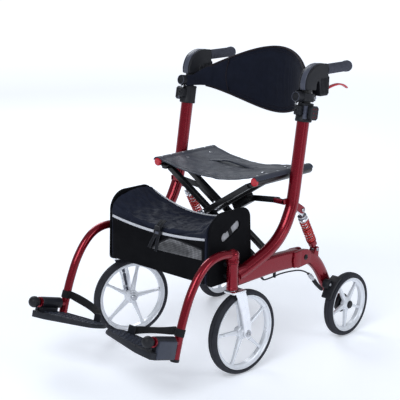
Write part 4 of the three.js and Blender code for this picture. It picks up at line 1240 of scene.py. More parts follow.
def seat_rail(side, body):
    place, centre = SIDES[side], (SEAT_RAIL.x, 0, SEAT_RAIL.z)
    piece = Piece(f"{side}_seat_tube", body, "black_metal", f"{side}_seat_rail", place=place)
    start, end = SEAT_FRONT + 7, SEAT_REAR
    profile = [(start, 11), (start, 13), (end - 6, 13), (end - 2, 12), (end, 9)]
    piece.add(BLACK_METAL, turned(profile, centre, Y))
    piece.make()
    cap = Piece(f"{side}_rail_end", body, "red_plastic", f"{side}_seat_rail_cap", place=place)
    dome = [(0, 4), (0.2, 9), (1, 11.6), (3, 13), (6.7, 13)]
    cap.add(RED_PLASTIC, turned([(SEAT_FRONT + y, radius) for y, radius in dome], centre, Y))
    cap.make()


def cross_bolt():
    piece = Piece("cross_bolt", "brace_a", "polished_alloy", "brace_pivot_bolt")
    first, last = BRACE_YS["right"][0] - 12, BRACE_YS["left"][1] + 12
    piece.add(
        ZINC,
        turned([(first, 4), (last, 4)], (0, 0, CROSS.z), Y, 20),
        bolt_head((0, first + 0.6, CROSS.z), -Y, 8, 4.4),
        bolt_head((0, last - 0.6, CROSS.z), Y, 8, 4.4)
    )
    piece.make()


def stabiliser(side):
    piece = half_piece(side, "link_bar", "link", "black_metal", "stabiliser_link")
    low = node_box("left_stabiliser_link")[0]
    pin = Vector((low.x + 9, LINK.y, low.z + 9))
    piece.add(BLACK_METAL, plate(lug((LINK.x, LINK.z), 9, (pin.x, pin.z), 8.8), LINK.y, 3, angle=50))
    piece.add(
        ZINC,
        turned([(-7.6, 4), (2, 4)], pin, Y, 20),
        bolt_head(pin + Y * 2.8, Y, 5.5, 3),
        bolt_head(LINK + Y * 2.8, Y, 6, 3)
    )
    piece.make()


# ---------- cables ----------
CABLE_R = 2.3
CABLE = [(0, -2, 276), (0, 12, 262), (0, 40, 260), (0, 90, 262), (1, 140, 259), (3, 185, 252), (5, 220, 236)]
CABLE += [(8, 246, 210), (12, 262, 190), (17, 281, 171)]


def brake_cable(side):
    points = [Vector((FRAME_X + x, y, z)) for x, y, z in CABLE]
    line = smooth_line(points, 8)
    cable = half_piece(side, "cable", None, "black_plastic", "brake_cable")
    cable.add(BLACK_PLASTIC, swept(line, round_section(CABLE_R, 14)))
    fittings = half_piece(side, "cable_fittings", None, "black_plastic")

    def fitting(first, last, per_span, section):
        """A sleeve over the cable between two places along Y."""
        return swept(smooth_line([p for p in line if first <= p.y <= last], per_span), section)

    def nut(share):
        return round_section(7 if 0.25 < share < 0.8 else 5, 6)(share)

    def bellows(share):
        return round_section(6.2 + 1.1 * math.sin(share * math.pi * 14) - 1.2 * share, 20)(share)

    def gland(share):
        return round_section(4.6 - 1.6 * share, 16)(share)

    fittings.add(ZINC, fitting(222, 246, 3, nut))
    fittings.add(BLACK_PLASTIC, fitting(247, 281, 6, bellows), swept(smooth_line(points[:2], 4), gland))
    fittings.add(BLACK_PLASTIC, box((FRAME_X - 4, 60, 257), (FRAME_X + 4, 66, 279), 1))
    made, extra = cable.make(), fittings.make()
    mirror = 1 if side == "left" else -1
    for part in (made, extra):
        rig.blend(
            part, f"{side}_frame", f"{side}_rear_arm", start=(mirror * 0.237, 0.15, 0.258),
            end=(mirror * 0.247, 0.262, 0.19)
        )
    path = [(mirror * p.x * MM, p.y * MM, p.z * MM) for p in line]
    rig.cord(
        made, exit=path[0], length=line_length(line) * MM, diameter=0.0046, far_end="object",
        stiffness="stiff", lay="taut", path=path, with_pieces=[extra]
    )


# ---------- bag panels ----------
BAG_LOW, BAG_HIGH = node_box("left_bag_panel")
PANEL_THICK = 8
SLOT_ENDS = ((-130, 414), (-76, 440))  # centres of the hand slot's round ends


def panel_outline():
    front, rear, low, high = BAG_LOW.y, BAG_HIGH.y, BAG_LOW.z, BAG_HIGH.z
    outline = arc_points((front + 16, low + 16), 16, 180, 270, 6)
    outline += arc_points((rear - 26, low + 26), 26, 270, 360, 8)
    outline += arc_points((rear - 44, high - 38), 36, 10, 88, 8)
    return outline + arc_points((front + 62, high - 60), 59, 92, 172, 10)


def slot_outline(radius):
    low, high = SLOT_ENDS
    return arc_points(low, radius, 72, 288, 10) + arc_points(high, radius, -72, 108, 10)


def bag_panel(side):
    piece = half_piece(side, "panel", "frame", "black_plastic", "bag_panel", smooth=40)
    mesh = bmesh.new()
    edges = []
    for outline in (panel_outline(), slot_outline(13.2)):
        verts = [mesh.verts.new((BAG_LOW.x, y, z)) for y, z in outline]
        edges += [mesh.edges.new((a, b)) for a, b in zip(verts, verts[1:] + verts[:1])]
    bmesh.ops.triangle_fill(mesh, edges=edges, use_beauty=True)
    grown = bmesh.ops.extrude_face_region(mesh, geom=list(mesh.faces))
    lifted = [g for g in grown["geom"] if isinstance(g, bmesh.types.BMVert)]
    bmesh.ops.translate(mesh, vec=(PANEL_THICK, 0, 0), verts=lifted)
    bmesh.ops.recalc_face_normals(mesh, faces=mesh.faces)
    round_edges(mesh, 2.2, 3, 1.0, clamp=False)
    piece.add(PANEL_CLOTH, mesh_shell(mesh))
    # spacers that hold the panel off the frame
    for y, z, tube in ((STEM.y, 300, 17), (STEM.y, 335, 17), (-50, 289, 14)):
        spacer = [(BAG_LOW.x + PANEL_THICK - 2, 6), (FRAME_X - tube - 0.5, 6)]
        piece.add(BLACK_PLASTIC, turned(spacer, (0, y, z), X, 24))
    piece.make()


def slot_lining(side):
    """What shows through the panel's hand slot: light mesh lining and a webbing bar."""
    piece = half_piece(side, "slot_lining", "frame", "bag_nylon")
    x = BAG_LOW.x
    piece.add(SLOT_MESH, slab(slot_outline(14.6), x + 0.3, x + 1.5, 0.3, 1))
    (y0, z0), (y1, z1) = SLOT_ENDS
    middle = (0, (y0 + y1) / 2, (z0 + z1) / 2)
    turn = Matrix.Translation(middle) @ Matrix.Rotation(math.atan2(z1 - z0, y1 - y0), 4, "X")
    piece.add(WEBBING, moved(box((x + 1.2, -6.5, -17), (x + 5, 6.5, 17), 1.0, 2), turn))
    piece.make()


HALF_MAKERS = (
    frame_tubes, collar, height_knob, handle, grip, band_clamp, brake_lever, wheels, caster_fork, rear_arm,
    brake_housing, shock, hanger, foot_knob, footplate, stabiliser, brake_cable, bag_panel
)
for half in SIDES:
    for maker in HALF_MAKERS:
        maker(half)
seat_rail("left", "brace_b")
seat_rail("right", "brace_a")
brace_arm("brace_arm_a", "left", NO_MOVE)
brace_arm("brace_arm_b", "right", MIRROR)
cross_bolt()


# ---------- cloth simulation ----------
def applied(source):
    """Replaces an object's mesh by what its modifiers make of it."""
    depsgraph = bpy.context.evaluated_depsgraph_get()
    mesh = bpy.data.meshes.new_from_object(source.evaluated_get(depsgraph))
    source.modifiers.clear()
    source.data = mesh


def soft_object(shell, voxel=None):
    """A temporary mesh in metres, remeshed to even cells if a voxel size is given."""
    points, faces = shell
    mesh = bpy.data.meshes.new("soft")
    mesh.from_pydata([Vector(p) * MM for p in points], [], faces)
    made = bpy.data.objects.new("soft", mesh)
    bpy.context.scene.collection.objects.link(made)
    if voxel:
        remesh = made.modifiers.new("remesh", "REMESH")
        remesh.mode = "VOXEL"
        remesh.voxel_size = voxel
        applied(made)
    return made


def settled(made, pressure, gravity, slack, stiffness, cap, pinned, frames):
    """Runs Cloth on a temporary mesh and returns its shell in millimetres.

    No point moves further than cap (mm).
    """
    rest = [v.co.copy() for v in made.data.vertices]
    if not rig.quick():
        cloth = made.modifiers.new("cloth", "CLOTH")
        settings = cloth.settings
        settings.quality = 6
        settings.mass = 0.25
        settings.tension_stiffness = stiffness
        settings.compression_stiffness = stiffness
        settings.shear_stiffness = stiffness / 3
        settings.bending_stiffness = 0.3
        settings.shrink_min = slack
        settings.use_pressure = pressure > 0
        settings.uniform_pressure_force = pressure
        settings.effector_weights.gravity = gravity
        cloth.collision_settings.use_collision = False
        group = made.vertex_groups.new(name="pinned")
        group.add(pinned, 1.0, "REPLACE")
        settings.vertex_group_mass = "pinned"
        cloth.point_cache.frame_start = 1
        cloth.point_cache.frame_end = frames
        for step in range(1, frames + 1):
            bpy.context.scene.frame_set(step)
        applied(made)
        bpy.context.scene.frame_set(1)
        for vertex, start in zip(made.data.vertices, rest):
            move = vertex.co - start
            if move.length > cap * MM:
                vertex.co = start + move.normalized() * cap * MM
    made.modifiers.new("finer", "SUBSURF").levels = 1
    applied(made)
    shell = [v.co / MM for v in made.data.vertices], [tuple(p.vertices) for p in made.data.polygons]
    bpy.data.objects.remove(made)
    return shell


def resampled(line, count):
    """Equally spaced points along a polyline."""
    lengths = [0.0]
    for a, b in zip(line, line[1:]):
        lengths.append(lengths[-1] + (b - a).length)
    made, span = [], 0
    for k in range(count):
        goal = lengths[-1] * k / (count - 1)
        while span < len(line) - 2 and lengths[span + 1] < goal:
            span += 1
        share = (goal - lengths[span]) / max(lengths[span + 1] - lengths[span], 1e-9)
        made.append(line[span].lerp(line[span + 1], min(1, share)))
    return made


def stitches(line, out, length, pitch, thick):
    """A row of thread dashes along a line; out(point) says which way the surface faces."""
    spots = resampled(line, max(2, int(line_length(line) / pitch) * 2 + 1))
    shells = []
    for start, end in zip(spots[::2], spots[1::2]):
        reach = (end - start).normalized() * min(length, (end - start).length * 1.25)
        lift = out(start) * 0.25
        thread = [start + lift, start + reach * 0.5 + lift * 2, start + reach + lift]
        shells.append(swept(thread, round_section(thick, 6), out(start)))
    return shells


def bump(distance, width):
    """A smooth bump, 1 in the middle."""
    return math.exp(-((distance / width) ** 2))


# ---------- seat ----------
SEAT_EDGE = SEAT_RAIL_R + 1.9
SEAT_Y = (SEAT_FRONT + 2, SEAT_REAR - 4)
SEAT_TOP = 566
SEAT_HALF = 194
SEAT_SAG, RIM_SAG = 20, 8  # in the middle, and how much more at the free edges
SEAT_COLUMNS, SEAT_ROWS = 150, 74
CLOTH_HALF = 1.1
RIVET_YS = (24, 66, 118, 170, 222, 258)
SNAPS = ((-153, 97), (-153, 205), (153, 97), (153, 205))
STRAP_ENDS = (-96, 74)
STRAP_Y = 152


def seat_sag(y):
    return SEAT_SAG + RIM_SAG * abs(2 * (y - SEAT_Y[0]) / (SEAT_Y[1] - SEAT_Y[0]) - 1) ** 2


def seat_height(x, y):
    return SEAT_TOP - seat_sag(y) * (1 - (x / SEAT_HALF) ** 2)


def seat_line(y):
    """The cloth's middle from the underside of one rail, over it, down across and over the other."""
    half = []
    for degrees in range(20, 100, 8):
        turn = math.radians(degrees)
        half.append((SEAT_RAIL.x + SEAT_EDGE * math.cos(turn), SEAT_RAIL.z + SEAT_EDGE * math.sin(turn)))
    half += [(188, 565.6), (179, 562)]
    half += [(x, seat_height(x, y)) for x in range(165, 0, -15)]
    across = [*half, (0, seat_height(0, y)), *[(-x, z) for x, z in reversed(half)]]
    return smooth_line([(x, y, z) for x, z in across], 3)


def seat_folds(x, y):
    """Tension folds: a long one near each free edge and soft ones fanning from the strap's ends."""
    inside = max(0.0, 1 - (abs(x) / 186) ** 6)
    front = bump(y - 34 - 0.0011 * (x - 40) ** 2, 11) * 2.6
    cross = math.sin((y - 0.32 * x) / 17) * 1.3 * bump(x - 70, 90)
    fine = noise.noise(Vector((x / 46, y / 20, 3))) * 2.6 + noise.noise(Vector((x / 21, y / 12, 9))) * 0.9
    return inside * (front + cross + fine)


def thickened(lines, half):
    """Equally long lines side by side as one closed sheet, thick by twice half."""
    rows, count = len(lines), len(lines[0])
    size = rows * count
    points, faces = [], []
    for way in (-half, half):
        for line in lines:
            points += [p + Y.cross(heading(line, k)).normalized() * way for k, p in enumerate(line)]
    for j in range(rows - 1):
        for i in range(count - 1):
            a = j * count + i
            faces.append((a, a + count, a + count + 1, a + 1))
            faces.append((size + a, size + a + 1, size + a + count + 1, size + a + count))
    for i in range(count - 1):
        b = size - count + i
        faces += [(i, i + 1, size + i + 1, size + i), (b, size + b, size + b + 1, b + 1)]
    for j in range(rows - 1):
        a = j * count
        b = a + count - 1
        faces += [(a, size + a, size + a + count, a + count), (b, b + count, size + b + count, size + b)]
    return points, faces


def seat_lines():
    lines = []
    for j in range(SEAT_ROWS):
        y = SEAT_Y[0] + (SEAT_Y[1] - SEAT_Y[0]) * j / (SEAT_ROWS - 1)
        line = resampled(seat_line(y), SEAT_COLUMNS)
        for p in line:
            if abs(p.x) < 188:
                p.z += seat_folds(p.x, p.y)
            pull = 3.5 * bump(min(j, SEAT_ROWS - 1 - j), 6) * (1 - (p.x / 200) ** 2)
            p.y += pull if j < SEAT_ROWS / 2 else -pull
        lines.append(line)
    return lines


def pull_strap():
    """A strap across the seat's middle, sewn at its ends and proud between them."""
    line = []
    for k in range(33):
        share = k / 32
        arch = math.sin(math.pi * share)
        x = STRAP_ENDS[0] + (STRAP_ENDS[1] - STRAP_ENDS[0]) * share
        y = STRAP_Y + 5 * math.sin(share * 7)
        z = seat_height(x, y) + seat_folds(x, y) * (1 - arch) + (1.8 + 11 * arch**1.5)
        line.append(Vector((x, y, z)))

    def section(share):
        arch = math.sin(math.pi * share)
        return rounded_rect(12.5 * (1 - 0.45 * arch), 1.1 + 1.6 * arch, 1.0, 3)(share)

    return swept(line, section, Y)


def seat():
    piece = Piece("seat_cloth", None, "seat_nylon", "seat_fabric", smooth=50)
    lines = seat_lines()
    piece.add(SEAT_CLOTH, thickened(lines, CLOTH_HALF))
    made = piece.make()

    trim = Piece("seat_trim", None, "seat_nylon", smooth=50)
    for line in (lines[0], lines[-1]):
        hem = [p for p in line if abs(p.x) < 196 or p.z > SEAT_RAIL.z]
        trim.add(SEAT_CLOTH, swept(hem, rounded_rect(2.4, 1.7, 1.2, 3), Y))
    for index in (3, SEAT_ROWS - 4):
        line = [p + Z * 1.1 for p in lines[index] if abs(p.x) < 186]
        trim.add(WEBBING, *stitches(line, lambda p: Z, 3.0, 5.2, 0.35))
    for sign in (-1, 1):
        for y in RIVET_YS:
            spot = (sign * (SEAT_RAIL.x - 3), y, SEAT_RAIL.z + SEAT_EDGE + 0.6)
            trim.add(ZINC, turned([(0, 4.6), (0.9, 4.2), (1.6, 2.6), (1.8, 1)], spot, Z, 20))
    for x, y in SNAPS:
        spot = (x, y, seat_height(x, y) + seat_folds(x, y) + 0.6)
        slope = (-x * 0.0019, 0, 1)
        trim.add(SEAT_CLOTH, turned([(0, 8.5), (0.8, 8.5), (1.2, 7.8), (1.3, 5)], spot, slope, 28))
        trim.add(ZINC, turned([(1, 5.2), (2.4, 4.8), (3.2, 3), (3.4, 1)], spot, slope, 24))
    trim.add(SEAT_CLOTH, pull_strap())
    for x in (STRAP_ENDS[0] + 3, STRAP_ENDS[1] - 3):
        z = seat_height(x, STRAP_Y) + seat_folds(x, STRAP_Y)
        trim.add(SEAT_CLOTH, box((x - 9, STRAP_Y - 14, z - 0.5), (x + 9, STRAP_Y + 14, z + 2.6), 1.1, 2))
    detail = trim.make()
    for part in (made, detail):
        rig.blend(part, "brace_b", "brace_a", start=(0.17, 0.135, 0.55), end=(-0.17, 0.135, 0.55))
    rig.sheet(
        made, flat=(line_length(lines[SEAT_ROWS // 2]) * MM, (SEAT_Y[1] - SEAT_Y[0]) * MM), held="stretched",
        rests_on=["left_seat_tube", "right_seat_tube"], with_pieces=[detail]
    )


seat()


# ---------- bag ----------
BAG_HALF = half_size("bag", 0)
BAG_END = BAG_HALF - 0.6
BAG_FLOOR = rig.box("bag")[0].z / MM
BAG_CORNER = 10
FRONT_Y = -196
LID_MIDDLE = [(FRONT_Y, 403), (-197.5, 413), (-196, 424), (-190, 431), (-178, 431), (-150, 428), (-110, 427)]
LID_MIDDLE += [(-70, 427), (-35, 427), (-12, 425)]
LID_END = [(FRONT_Y, 419), (-196.5, 437), (-189, 456), (-170, 471), (-135, 481), (-95, 487), (-60, 487)]
LID_END += [(-32, 481), (-15, 468)]
LID_ROWS = 40
BAG_COLUMNS = 96
POCKET_X, POCKET_WIDE = -17, 196
BUCKLE_TAILS = ((4, -27, 352), (16, 0, 346))  # top x, low x, low z


def lid_line(profile):
    return resampled(smooth_line([(0, y, z) for y, z in profile], 5), LID_ROWS)


def bag_ring(u):
    """A closed loop round the bag: lid, back, floor, front. u is -1 at its right end and 1 at its left."""
    lid = [a.lerp(b, abs(u) ** 2) for a, b in zip(lid_line(LID_MIDDLE), lid_line(LID_END))]
    low = BAG_FLOOR + 2 + BAG_CORNER
    front, rear = lid[0], lid[-1]
    bulge = 1 - u * u
    quarters = [math.pi / 2 * k / 4 for k in range(5)]
    walls = []
    for k in range(1, 14):
        share = k / 14
        walls.append((rear.y + 2.5 * bulge * math.sin(math.pi * share), rear.z + (low - rear.z) * share))
    for turn in quarters:
        walls.append((rear.y - BAG_CORNER * (1 - math.cos(turn)), low - BAG_CORNER * math.sin(turn)))
    for k in range(1, 10):
        share = k / 10
        y = rear.y - BAG_CORNER + (front.y + 2 * BAG_CORNER - rear.y) * share
        walls.append((y, low - BAG_CORNER - 2 * bulge * math.sin(math.pi * share)))
    for turn in quarters:
        walls.append((front.y + BAG_CORNER * (1 - math.sin(turn)), low - BAG_CORNER * math.cos(turn)))
    for k in range(1, 14):
        share = k / 14
        walls.append((front.y - 3.0 * bulge * math.sin(math.pi * share), low + (front.z - low) * share))
    return [Vector((u * BAG_END, y, z)) for y, z in [*[p.yz for p in lid], *walls]]


def bag_front(x, z):
    """Y of the front wall's surface."""
    u = x / BAG_END
    low = BAG_FLOOR + 12
    share = min(1, max(0, (z - low) / (403 + 16 * u * u - low)))
    return FRONT_Y - 3.0 * (1 - u * u) * math.sin(math.pi * share)


def wall_strip(columns, thick):
    """A closed skin on the bag's front from its columns of outer points."""
    inner = [[p + Y * thick for p in reversed(column)] for column in columns]
    return lofted([back + column for back, column in zip(inner, columns)])


def settled_bag(rings):
    """The bag's shell with its lid sunk and creased."""
    around = len(rings[0])
    pinned = []
    for i, ring in enumerate(rings):
        u = -1 + 2 * i / BAG_COLUMNS
        for k, p in enumerate(ring):
            crease = noise.noise(p / 34) * 3.4 + noise.noise(Vector((p.x / 12, p.y / 26, p.z / 26))) * 1.3
            between = 0 < i < BAG_COLUMNS
            if between and 0 < k < LID_ROWS - 1:
                p.z += crease * min(1, min(k, LID_ROWS - 1 - k) / 4, min(i, BAG_COLUMNS - i) / 4)
                continue
            pinned.append(i * around + around - 1 - k)
            if between and k > LID_ROWS:
                p.y += 0.35 * crease * (1 - u * u)
    shell = settled(
        soft_object(lofted([ring[::-1] for ring in rings])), pressure=0.0, gravity=0.7, slack=-0.05,
        stiffness=12, cap=14, pinned=pinned, frames=24
    )
    # sharp little creases, left by folding
    for p in shell[0]:
        inside = min(BAG_HALF - abs(p.x), p.y + 194, -14 - p.y) / 14
        if p.z > 400 and inside > 0:
            ridge = 1 - 2.4 * abs(noise.noise(Vector((p.x / 62, (p.y + 0.3 * p.x) / 24, 1.7))))
            small = 1 - 3 * abs(noise.noise(Vector((p.x / 30, (p.y - 0.5 * p.x) / 15, 6.2))))
            p.z += min(1, inside) * (3.0 * ridge + 1.6 * small)
    return shell


def mesh_pocket():
    """The pocket's skin and the line of its mouth."""
    columns, mouth = [], []
    for i in range(41):
        t = i / 40
        x = POCKET_X + POCKET_WIDE * t
        low = 351 + 4 * t
        high = 352 + 3 * t + 44 * min(1, t / 0.36) ** 0.8 - 26 * max(0, t - 0.45) ** 1.3
        column = []
        for k in range(13):
            share = k / 12
            z = low + (high - low) * share
            swell = 3.2 * math.sin(math.pi * share) ** 0.6 * math.sin(math.pi * min(1, 0.08 + t * 0.9))
            ripple = 0.7 * noise.noise(Vector((x / 9, z / 14, 0)))
            column.append(Vector((x, bag_front(x, z) - 2.0 - swell - ripple * share, z)))
        columns.append(column)
        mouth.append(column[-1] - Y * 0.4)
    return wall_strip(columns, 1.2), mouth


def add_buckle(piece):
    for top_x, low_x, low_z in BUCKLE_TAILS:
        route = [
            (top_x, -178, 437), (top_x, -190, 431), (top_x - 1, -200.5, 418),
            (top_x - 3, bag_front(top_x, 402) - 5.5, 402), ((top_x + low_x) / 2, bag_front(0, 378) - 6, 378),
            (low_x, bag_front(low_x, low_z) - 4, low_z)
        ]
        line = smooth_line(route, 5)
        piece.add(WEBBING, swept(line, rounded_rect(6.3, 1.0, 0.8, 3)))
        for edge in (-5.2, 5.2):
            thread = [p + Vector((edge, -1.1, 0.3)) for p in line]
            piece.add(SEAT_CLOTH, swept(thread, round_section(0.35, 6)))
    y = bag_front(8, 410) - 7
    piece.add(BLACK_PLASTIC, box((-6, y - 4, 398), (24, y + 3, 412), 2.6))
    piece.add(BLACK_PLASTIC, box((-3, y - 3.4, 412), (21, y + 2.4, 424), 2.2))
    piece.add(GREY_PLASTIC, box((2, y - 5, 401), (16, y - 3.4, 409), 0.8, 2))


def bag():
    rings = [bag_ring(-1 + 2 * i / BAG_COLUMNS) for i in range(BAG_COLUMNS + 1)]
    piece = Piece("bag_body", "left_frame", "bag_nylon", "bag", smooth=60)
    piece.add(BAG_CLOTH, settled_bag(rings))
    lip = [ring[0] - Y * 0.6 for ring in rings[2:-2]]
    back_edge = [ring[LID_ROWS - 1] + Vector((0, -0.3, 0.4)) for ring in rings[1:-1]]
    piece.add(PIPING, swept(lip, rounded_rect(1.7, 3.9, 1.5, 3), Y))
    piece.add(PIPING, swept(back_edge, round_section(2.3, 12), Y))
    # the matt front wall, bound along its edges
    columns = []
    for ring in rings[2 : BAG_COLUMNS - 1 : 2]:
        x, top = ring[0].x, ring[0].z - 3.5
        heights = [286 + (top - 286) * k / 16 for k in range(17)]
        columns.append([Vector((x, bag_front(x, z) - 1.2, z)) for z in heights])
    piece.add(PANEL_CLOTH, wall_strip(columns, 2.4))
    low_line = [Vector((x, bag_front(x, 290) - 1.6, 290)) for x in range(-188, 189, 8)]
    piece.add(WEBBING, *stitches(low_line, lambda p: -Y, 3.4, 5.6, 0.35))
    pocket, mouth = mesh_pocket()
    piece.add(MESH_CLOTH, pocket)
    piece.add(WEBBING, swept(mouth, rounded_rect(1.4, 2.2, 1.0, 3), Y))
    add_buckle(piece)
    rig.squash(piece.make(), "fold", axis=(1, 0, 0), anchor=(BAG_HALF * MM, 0, 0.38), keep=0.32)


bag()


# ---------- back strap ----------
PAD_HALF = half_size("backrest", 0)
PAD_REACH = PAD_HALF - 3
PAD_THICK = 7.0
BOW_Y, BOW_DEEP, BOW_HALF = 204, 146, 225
END_LOW, END_HIGH = 768, 830
DROP, RISE, RISE_HALF = 76, 73, 196
SEAM_X, SEAM_Z, SEAM_INSET = 150, 800, 15
CORD_X = 152
TONGUE = ((190, 243), (198, 232), (205, 218), (209, 202), (211, 185), (214, 168), (218, 157))


def pad_bow(x):
    """Y of the strap's middle."""
    return BOW_Y + BOW_DEEP * (1 - (x / BOW_HALF) ** 2)


def swell(x, half):
    """1 in the strap's middle, falling to 0 at a distance of half."""
    return math.cos(min(abs(x), half) / half * math.pi / 2)


def pad_high(x):
    """Z of the upper edge."""
    return END_HIGH + RISE * swell(x, RISE_HALF) ** 0.9


def pad_low(x):
    """Z of the lower edge."""
    return END_LOW - DROP * swell(x, PAD_HALF) ** 1.2


def pad_normal(x):
    return Vector((-2 * BOW_DEEP * x / BOW_HALF**2, -1, 0)).normalized()


def pad_ring(x, inset=1.2, steps=14):
    """A lens-shaped loop across the pad at x."""
    low, high = pad_low(x) + inset, pad_high(x) - inset
    middle = Vector((x, pad_bow(x), 0))
    shares = [k / steps for k in range(steps + 1)]
    ring = []
    for out, order in ((pad_normal(x), shares), (-pad_normal(x), [1 - share for share in shares])):
        for share in order:
            deep = PAD_THICK * (0.3 + 0.7 * math.sin(math.pi * share) ** 0.55)
            ring.append(middle + out * deep + Z * (low + (high - low) * share))
    return ring


def pad_edges(half, inset):
    """Lines along the pad's upper and lower edges, moved in from them."""
    xs = [-half + 2 * half * i / 60 for i in range(61)]
    yield [Vector((x, pad_bow(x), pad_high(x) - inset)) for x in xs]
    yield [Vector((x, pad_bow(x), pad_low(x) + inset)) for x in xs]


def settled_pad():
    """The padding, swollen by pressure and sewn down along its channels."""
    xs = [-PAD_REACH + 2 * PAD_REACH * i / 72 for i in range(73)]
    pad = soft_object(lofted([pad_ring(x) for x in xs]), voxel=0.005)
    held = []
    for index, vertex in enumerate(pad.data.vertices):
        x, z = vertex.co.x / MM, vertex.co.z / MM
        if min(pad_high(x) - z, z - pad_low(x)) < 7 or abs(x) > PAD_REACH - 5:
            held.append(index)
    points, faces = settled(
        pad, pressure=4.0, gravity=0.0, slack=0.0, stiffness=15, cap=5, pinned=held, frames=20
    )
    for p in points:
        inset = min(pad_high(p.x) - p.z, p.z - pad_low(p.x))
        seam = SEAM_X + 6 * math.cos((p.z - SEAM_Z) / 30)
        sink = max(3.0 * bump(inset - SEAM_INSET, 2.6), 3.2 * bump(abs(p.x) - seam, 3))
        away = p - Vector((p.x, pad_bow(p.x), p.z))
        if away.length > 3:
            p -= away.normalized() * sink
        p += pad_normal(p.x) * (noise.noise(Vector((p.x / 60, p.z / 45, 0))) * 1.1)
    return points, faces


def strap_end(sign):
    """A second layer of webbing from the curved seam outwards."""
    rings = []
    for x in range(int(PAD_REACH) + 1, 151, -4):
        low, high = pad_low(x) + 4.5, pad_high(x) - 4.5
        fade = min(1, (x - 148) / 8)
        out = pad_normal(sign * x)
        section = rounded_rect(8.6 * fade + 4 * (1 - fade), (high - low) / 2, 3.5, 4)(0)
        middle = Vector((sign * x, pad_bow(x), (high + low) / 2))
        rings.append([middle + out * a + Z * b for a, b in section][::-sign])
    return lofted(rings)


def corded_seam(sign, face):
    """A cord on one face of the pad where a strap end begins."""
    line = []
    for k in range(25):
        z = pad_low(SEAM_X) + 7 + (pad_high(SEAM_X) - pad_low(SEAM_X) - 14) * k / 24
        x = sign * (CORD_X + 6 * math.cos((z - SEAM_Z) / 30))
        line.append(Vector((x, pad_bow(x), z)) + pad_normal(x) * face * 8.8)
    return swept(line, round_section(1.1, 10))


def tongue(sign):
    """Webbing from the pad's end to the clamp's boss, narrowing on its way."""
    line = smooth_line([(sign * x, y, 0) for x, y in TONGUE], 5)
    rings = []
    for i, p in enumerate(line):
        share = i / (len(line) - 1)
        out = heading(line, i).cross(Z).normalized()
        narrow = min(1, max(0, share - 0.15) * 1.8)
        section = rounded_rect(8.6 - 6.7 * min(1, share * 2.2), 30.5 - 13.5 * narrow, 1.5, 3)(0)
        rings.append([p + out * a + Z * (799.5 - 9.5 * narrow + b) for a, b in reversed(section)])
    return lofted(rings)


def backrest():
    piece = Piece("back_strap", "left_handle", "back_fabric", "backrest", smooth=60)
    piece.add(BACK_CLOTH, settled_pad())
    for edge in pad_edges(PAD_REACH, 2.4):
        piece.add(BINDING, swept(edge, rounded_rect(5.4, 3.0, 2.4, 4), Y))
    for way in (-1, 1):
        for edge in pad_edges(140, SEAM_INSET):
            line = [p - pad_normal(p.x) * way * 7.2 for p in edge]
            piece.add(BINDING, *stitches(line, lambda p: pad_normal(p.x) * -way, 3.4, 5.4, 0.45))
    piece.add(BACK_CLOTH, strap_end(-1), strap_end(1))
    piece.add(BINDING, *[corded_seam(sign, face) for sign in (-1, 1) for face in (-1, 1)])
    piece.add(BACK_CLOTH, tongue(-1), tongue(1))
    made = piece.make()
    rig.padded(made, fill=0.7)
    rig.squash(made, "fold", axis=(1, 0, 0), anchor=(0.215, 0.2, 0.8), keep=0.3)


backrest()


# ---------- heel straps ----------
HEEL_ROUTE = [(-14.5, -346, 195), (-48, -334, 183), (-92, -330, 171), (-130, -338, 164), (-152, -352, 162)]
HEEL_ROUTE += [(-163, -369, 163)]


def heel_strap(side):
    line = smooth_line([(FRAME_X + x, y, z) for x, y, z in HEEL_ROUTE], 9)
    piece = half_piece(side, "heel_webbing", None, "webbing", "heel_strap", smooth=50)
    rings = []
    for i, p in enumerate(line):
        lean = math.sin(math.pi * i / (len(line) - 1))
        up = (Z * math.cos(lean) + Y * math.sin(lean)).normalized()
        out = heading(line, i).cross(up).normalized()
        rings.append([p + out * a + up * b for a, b in reversed(rounded_rect(0.9, 12, 0.8, 3)(0))])
    piece.add(WEBBING, lofted(rings))
    start, end = (tuple(SIDES[side] @ line[i] * MM) for i in (4, -5))
    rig.blend(piece.make(), f"{side}_hanger", f"{side}_footplate", start=start, end=end)
    band = half_piece(side, "strap_band", "hanger", "webbing")
    tube = in_frame([(-349.5, 182), (-345.8, 192), (-341.9, 202)])
    buckle = box((FRAME_X - 19, -352, 185), (FRAME_X - 11, -341, 203), 2, 2)
    band.add(WEBBING, swept(tube, round_section(14.2)), buckle)
    band.make()


for half in SIDES:
    heel_strap(half)
    slot_lining(half)


# ---------- stage ----------
FLOOR_HALF = 40
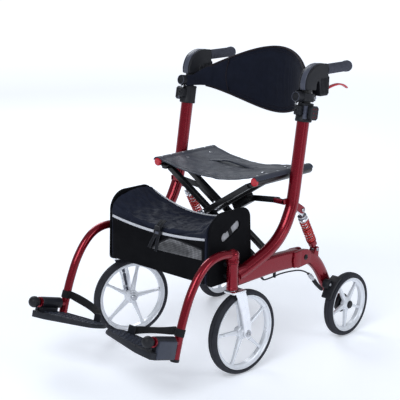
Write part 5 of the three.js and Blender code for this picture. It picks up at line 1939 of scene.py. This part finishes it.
# how the floor's painted glow rises with distance in metres: dimmest by the walker, a painted shade round it
FLOOR_PAINTED_GLOW = (("From Min", 1.2), ("From Max", 7.0), ("To Min", 0.32), ("To Max", 0.78))
LIGHT_COLOUR = (0.92, 0.955, 1.0)
SKY_COLOUR, SKY_STRENGTH = (0.88, 0.935, 1.0, 1), 0.42
LIGHTS = {  # place, size and power
    "key": ((1.2, -3.2, 3.4), 2.4, 95),
    "side": ((3.6, 0.6, 1.8), 1.6, 30),
    "rim": ((-3.0, 1.4, 2.6), 2.0, 60),
}


def add_floor():
    s = FLOOR_HALF
    mesh = bpy.data.meshes.new("floor")
    mesh.from_pydata([(-s, -s, 0), (s, -s, 0), (s, s, 0), (-s, s, 0)], [], [(0, 1, 2, 3)])
    floor = bpy.data.objects.new("floor", mesh)
    bpy.context.scene.collection.objects.link(floor)
    paper = finish(
        "studio_floor", (0.84, 0.86, 0.9), 0.8, mottle=0.004, mottle_scale=2, Specular_IOR_Level=0.1,
        Emission_Color=(0.9, 0.93, 1.0, 1)
    )
    mesh.materials.append(paper)
    # painted light: the paper glows, dimmest by the walker as a painted shade round it, and brightens away from the
    # walker
    tree = paper.node_tree
    reach = tree.nodes.new("ShaderNodeVectorMath")
    reach.operation = "LENGTH"
    spread = tree.nodes.new("ShaderNodeMapRange")
    for socket, value in FLOOR_PAINTED_GLOW:
        spread.inputs[socket].default_value = value
    tree.links.new(tree.nodes.new("ShaderNodeTexCoord").outputs["Object"], reach.inputs[0])
    tree.links.new(reach.outputs["Value"], spread.inputs["Value"])
    tree.links.new(spread.outputs["Result"], tree.nodes["Principled BSDF"].inputs["Emission Strength"])
    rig.stage(floor)


def add_lights():
    world = bpy.data.worlds.new("studio")
    world.use_nodes = True
    background = world.node_tree.nodes["Background"]
    background.inputs["Color"].default_value = SKY_COLOUR
    background.inputs["Strength"].default_value = SKY_STRENGTH
    bpy.context.scene.world = world
    bpy.context.scene.view_settings.view_transform = "Standard"
    for name, (place, size, power) in LIGHTS.items():
        data = bpy.data.lights.new(name, "AREA")
        data.size = size
        data.energy = power
        data.color = LIGHT_COLOUR
        light = bpy.data.objects.new(name, data)
        light.location = place
        light.rotation_mode = "QUATERNION"
        light.rotation_quaternion = (LOOK_AT - Vector(place)).to_track_quat("-Z", "Y")
        bpy.context.scene.collection.objects.link(light)


add_floor()
add_lights()

bpy.context.view_layer.update()
low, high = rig.bounds()
with open("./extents.json", "w") as file:
    json.dump({"cad": [list(cad_low), list(cad_high)], "visual": [list(low), list(high)]}, file)
